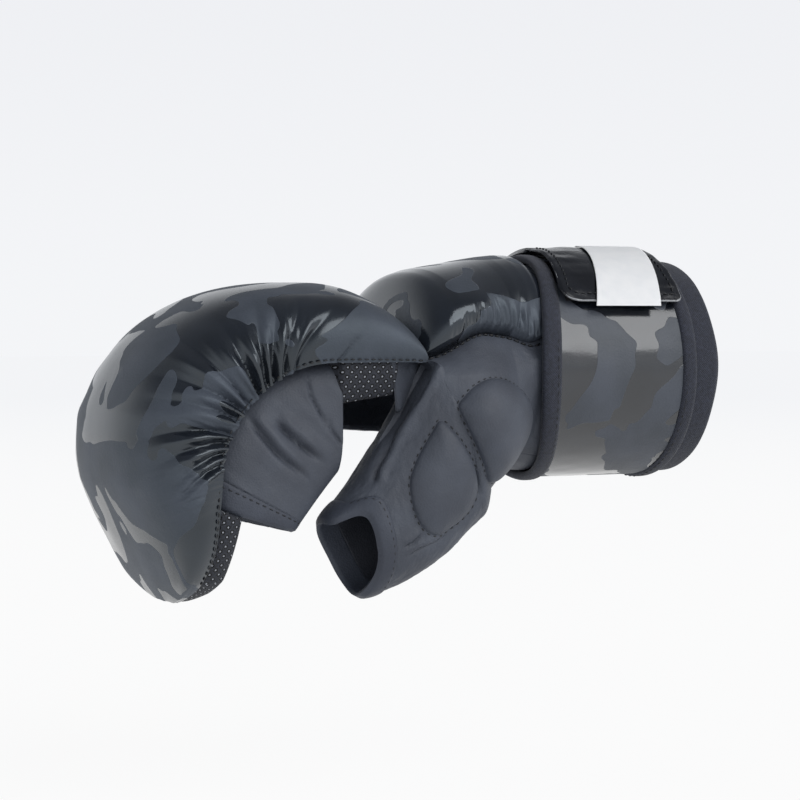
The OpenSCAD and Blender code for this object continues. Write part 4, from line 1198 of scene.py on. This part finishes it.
# %% Bands and bindings
TAB_R, TAB_OUT, LABEL_R, TAB_END = 42.3, 43.7, 43.9, 234.0
HALVES = (("sewn", "root", "cuff", SEWN, 21, 31), ("free", "wrap", "strap", FREE, 23, 35))
for half, node, body, turn, seed, tape_seed in HALVES:
    strap = band("strap_" + half + "_half", (STRAP_R + 0.1, STRAP_OUT), (BAND_FRONT - 0.6, BAND_REAR + 0.6),
                 turn, CAMO_STRAP, body, "strap_" + node, seed)
# The strap's inner faces lie in shade and get the darker copy of the plain leather: painted shade.
second_finish(strap, MATTE_SHADED, lambda face: face.normal.yz.dot(face.center.yz) < 0)
for half, node, body, turn, seed, tape_seed in HALVES:
    binding(half + "_front_tape", STRAP_FRONT - 0.8, STRAP_FRONT + BINDING_W + 0.6,
            turn, body, node + "_front_binding", tape_seed)
    binding(half + "_rear_tape", STRAP_REAR - BINDING_W, STRAP_REAR + 0.6,
            turn, body, node + "_rear_binding", tape_seed + 1)
band("strap_gloss_patch", (STRAP_OUT + 0.2, TAB_OUT), (BAND_FRONT + 0.6, BAND_REAR - 0.6),
     (PATCH_START, FREE[1]), GLOSS, "strap", "strap_patch", 25, 0.4)

# %% The closing tab and its label
TAPE_AT = (BAND_FRONT + 3, BAND_REAR - 3), (SEWN[0], TAB_END - 1)
TAB_FRONT, TAB_REAR, TAB_LAST, TAB_CORNERS = BAND_FRONT + 0.2, -10.4, TAB_END + 1.5, (7.0, 2.0)
LABEL_ENDS, LABEL_SKEW = (-44.8, -20.4), 10.0
band("soft_tape", (STRAP_OUT + 0.2, STRAP_OUT + 1.0), *TAPE_AT, LOOPS, "cuff", "loop_tape", 27, 0.0)
band("gripping_tape", (STRAP_OUT + 1.2, STRAP_OUT + 2.1), *TAPE_AT, HOOKS, "tab", "hook_tape", 28, 0.0)
band("closing_tab", (TAB_R, TAB_OUT), (TAB_FRONT, TAB_REAR), (SEWN[0], TAB_LAST),
     GLOSS, "tab", "tab_cover", 29, 0.9, TAB_CORNERS)
band("blank_label", (LABEL_R + 0.3, LABEL_R + 0.65), LABEL_ENDS, (SEWN[0], TAB_END + 5.5),
     LABEL, "tab", "care_label", 33, skew=LABEL_SKEW)

# %% The tab's border
def tab_border(inset, r, rub=0.9):
    """The tab's free edge, round its front side, its end and its rear side, and the way out of it."""
    x0, x1 = TAB_FRONT + inset, TAB_REAR - inset
    c0, c1 = (max(c - inset, 0.3) for c in TAB_CORNERS)
    arc = math.degrees(1 / TAB_OUT)
    start, end, turn = SEWN[0] + 2, TAB_LAST - inset * arc, np.linspace(0, 90, 12)
    b0, b1 = end - c0 * arc, end - c1 * arc
    xs = np.concatenate([np.full(30, x0), x0 + c0 - c0 * cos_d(turn),
                         x1 - c1 + c1 * sin_d(turn), np.full(30, x1)])
    bs = np.concatenate([np.linspace(start, b0, 30), b0 + c0 * arc * sin_d(turn),
                         b1 + c1 * arc * cos_d(turn), np.linspace(b1, start, 30)])
    return ring_points(xs + bow(xs, bs), r + rub * ripple(xs, bs, 29), bs), ring_points(0 * xs, 1.0, bs)


EDGE_R = 0.45
border, way = tab_border(0.0, TAB_OUT - 0.7, 0.45)
across = unit(np.cross(unit(np.gradient(border, axis=0)), way))
turns = np.arange(0, 360, 45)[:, None]
rings = border[:, None] + EDGE_R * (across[:, None] * cos_d(turns) + way[:, None] * sin_d(turns))
tube("tab_cut_edge", rings, CUT_EDGE, "tab", ("tab_edging",), 0.3, 55)
sew("tab_stitches", [tab_border(2.6, TAB_OUT + 0.1)], "tab", "gloss_leather",
    pitch=2.6, length=1.9, radius=0.28)

# %% [markdown]
# ## Seams
# The long seams hold the look together: the gathered seam under the knuckle pad, the
# puckered seams of the back roll and the line along each binding. Their paths could be
# picked from the edges of the meshes, but the formulas of the pieces give them directly.

# %% Seam stitches
seam_d, knuckle_seams = np.linspace(1.0, PAD_L - 8, 260), []
for a, way in ((-PAD_TUCK + 1.5, (0, -1, 0)), (180 + PAD_TUCK - 1.5, (0, 1, 0))):
    knuckle_seams.append((pad_point(seam_d, np.full(seam_d.shape, a)) + np.array(way) * 0.5, way))
sew("knuckle_seam_stitches", knuckle_seams, "knuckles", "camo_leather", pitch=2.5, length=1.7, radius=0.27)
seam_s = np.linspace(hand_s(-66), hand_s(-114), 160)
lines = [hand_point(seam_s, np.full(seam_s.shape, a), 0.3) for a in (BACK_END, BACK_START)]
sew("back_seam_stitches", [(line, unit(line * np.array([0, 1, 1]))) for line in lines],
    "hand", "camo_leather", pitch=2.8, length=2.2, radius=0.42)


def ring_line(x, r, b0, b1):
    """A path round the forearm along the strap, and the way out of it."""
    bs = np.linspace(b0, b1, 200)
    return ring_points(x + bow(x, bs), r, bs), ring_points(0 * bs, 1.0, bs)


for name, body, *ends in (("root", "cuff", SEWN[0] + 58, SEWN[1]), ("wrap", "strap", FREE[0], PATCH_START)):
    lines = [ring_line(x, BINDING_OUT + 0.1, *ends) for x in (STRAP_FRONT + 3.9, STRAP_REAR - 3.6)]
    sew(name + "_binding_stitches", lines, body, "binding_fabric", pitch=3.1, length=2.2, radius=0.22)

# %% [markdown]
# ## Cut sizes
# Everything that isn't stuffed was cut from flat leather, mesh or tape. A table lists
# each such piece with the size of its cut in metres, width by length, and its area where
# the cut isn't a rectangle; cut() does nothing with the rows. Panels and sleeves are
# stretched over the hand's shape, bindings are folded round an edge, and the closing
# parts lie flat on each other. The sizes could be read off the meshes, but a sheet
# that is stretched or folded has another size than its cut.

# %% Cut sizes of the sheets
CUTS = [("back_of_hand", 0.062, 0.085, "stretched", "palm", 0.0050),
        ("palm", 0.040, 0.075, "stretched", "little_finger_side", 0.0024),
        ("little_finger_side", 0.062, 0.050, "stretched", "back_of_hand", 0.0026),
        ("thumb_side", 0.060, 0.075, "stretched", "back_of_hand", 0.0033),
        ("thumb_panel", 0.075, 0.085, "stretched", "thumb_side", 0.0038, "thumb_mouth_hem"),
        ("thumb_palm_side", 0.030, 0.034, "stretched", "thumb_panel", 0.00087),
        ("heel_gusset", 0.050, 0.016, "stretched", "thumb_panel", 0.00053),
        ("wrist_gusset", 0.0105, 0.211, "stretched", "cuff_wall"),
        ("web_strip", 0.020, 0.024, "stretched", "thumb_panel", 0.00026),
        ("side_mesh_wall", 0.031, 0.018, "hung", "knuckle_mesh"),
        ("cuff_bore_lining", 0.050, 0.192, "stretched", "cuff_wall"),
        ("strap_sewn_half", 0.048, 0.148, "stretched", "cuff_wall"),
        ("strap_free_half", 0.048, 0.103, "stretched", "cuff_wall"),
        ("strap_gloss_patch", 0.045, 0.046, "laid", "strap_free_half"),
        ("soft_tape", 0.039, 0.039, "laid", "strap_sewn_half"),
        ("gripping_tape", 0.039, 0.039, "laid", "soft_tape"),
        ("closing_tab", 0.047, 0.044, "laid", "gripping_tape", None, "tab_cut_edge"),
        ("blank_label", 0.0245, 0.048, "laid", "closing_tab"),
        ("sewn_front_tape", 0.0105, 0.150, "folded", "strap_sewn_half"),
        ("sewn_rear_tape", 0.010, 0.148, "folded", "strap_sewn_half"),
        ("free_front_tape", 0.0105, 0.104, "folded", "strap_free_half"),
        ("free_rear_tape", 0.010, 0.103, "folded", "strap_free_half"),
        ("cuff_edge_tape", 0.0105, 0.242, "folded", "cuff_wall")]
CUTS += [(n + "_finger_sleeve", 0.100, 0.045, "stretched", "knuckle_mesh", 0.0041, n + "_finger_hem")
         for n in FINGERS]


def cut(name, width, length, held, under, area=None, *extra):
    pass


for row in CUTS:
    cut(*row)
print("declared", len(CUTS), "sheets")

# %% [markdown]
# ## Stage, light and camera
# The glove is shown on white, seen from the thumb side with the back of the hand up.
# One very broad lamp from the front right gives soft highlights. Several small lamps
# would light it too, but each would leave a hard spot on the film. The room is pale at
# eye level and dim overhead, so the glossy film is dark on top and bright below, where
# it mirrors the white floor.

# %% Floor
FLOOR_Z, FLOOR_HALF, FLOOR_GLOW = -0.15, 9, 0.92


def seen_rays(at):
    """1 for rays that show the background: seen straight, in a gloss or through something clear."""
    straight, gloss, clear = (at.node("ShaderNodeLightPath", out="Is " + kind + " Ray")
                              for kind in ("Camera", "Glossy", "Transmission"))
    return at.math("MINIMUM", straight + gloss + clear, 1.0)


finish, at = new_finish("pale_floor")
tone = cloud(at, 4.0).step(0.2, 0.8).blend((0.88, 0.885, 0.89, 1), (0.9, 0.905, 0.91, 1))
paint(finish, {"Base Color": tone, "Roughness": 0.9})
tree = finish.node_tree
away = at.node("ShaderNodeVectorMath", {"operation": "LENGTH"}, {0: at}, out=1)
fading = away.step(0.2, 4.5).blend((1.0, 1.0, 1.0, 1), (0.925, 0.935, 0.955, 1))
glow = at.node("ShaderNodeEmission", None, {"Color": fading})
cloth = Wire(tree, tree.nodes["Principled BSDF"].outputs[0])
both = at.node("ShaderNodeMixShader", None, {0: seen_rays(at) * FLOOR_GLOW, 1: cloth, 2: glow})
plug(tree, tree.nodes["Material Output"], {"Surface": both})
mesh = bpy.data.meshes.new("floor")
corners = ((-1, -1), (1, -1), (1, 1), (-1, 1))
mesh.from_pydata([(x * FLOOR_HALF, y * FLOOR_HALF, FLOOR_Z) for x, y in corners], [], [[0, 1, 2, 3]])
mesh.materials.append(finish)
floor = bpy.data.objects.new("floor", mesh)
bpy.context.collection.objects.link(floor)
floor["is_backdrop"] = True
print("floor at", FLOOR_Z, "m")

# %% World and lamp
world = bpy.data.worlds.new("studio")
bpy.context.scene.world = world
world.use_nodes = True
tree = world.node_tree
height = Wire(tree, tree.nodes.new("ShaderNodeTexCoord").outputs["Generated"]).axes()[2]
room = height.step(0.1, 0.75).blend((0.88, 0.9, 0.93, 1), (0.19, 0.2, 0.22, 1))
backdrop = height.step(-0.02, 0.16).blend((0.905, 0.915, 0.935, 1), (0.86, 0.87, 0.9, 1))
straight = height.node("ShaderNodeLightPath", out="Is Camera Ray")
plug(tree, tree.nodes["Background"], {"Color": straight.blend(room, backdrop)})
sun = bpy.data.objects.new("soft_box", bpy.data.lights.new("soft_box", "SUN"))
sun.data.energy, sun.data.angle = 1.5, math.radians(48)
sun.rotation_euler = Vector((0.38, -0.72, 0.62)).to_track_quat("Z", "Y").to_euler()
bpy.context.collection.objects.link(sun)
print("lamp", sun.name, "with a spread of", round(math.degrees(sun.data.angle)), "degrees")

# %% Camera
AZIMUTH, ELEVATION, FAR = math.radians(-25), math.radians(2), 0.9
camera = bpy.data.objects.new("camera", bpy.data.cameras.new("camera"))
camera.data.sensor_width, camera.data.lens = 36.0, 108.0
camera.data.clip_start, camera.data.clip_end = 0.01, 20.0
back = Vector((math.sin(AZIMUTH) * math.cos(ELEVATION),
               -math.cos(AZIMUTH) * math.cos(ELEVATION), math.sin(ELEVATION)))
right = Vector((math.cos(AZIMUTH), math.sin(AZIMUTH), 0))
target = right * -0.0956 + back.cross(right) * -0.01275
camera.location = target + back * FAR
camera.rotation_euler = (-back).to_track_quat("-Z", "Y").to_euler()
bpy.context.collection.objects.link(camera)
bpy.context.scene.camera = camera
bpy.context.scene.view_settings.view_transform = "Standard"
print("camera at", [round(v, 3) for v in camera.location])

# %% [markdown]
# ## Size and finish
# The dressed glove is to keep the size of its solids, so the box round it is measured and printed.

# %% Measure the box
bpy.context.view_layer.update()
visual_box = [list(map(float, corner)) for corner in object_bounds()]
print("visual box", [[round(v, 4) for v in corner] for corner in visual_box])
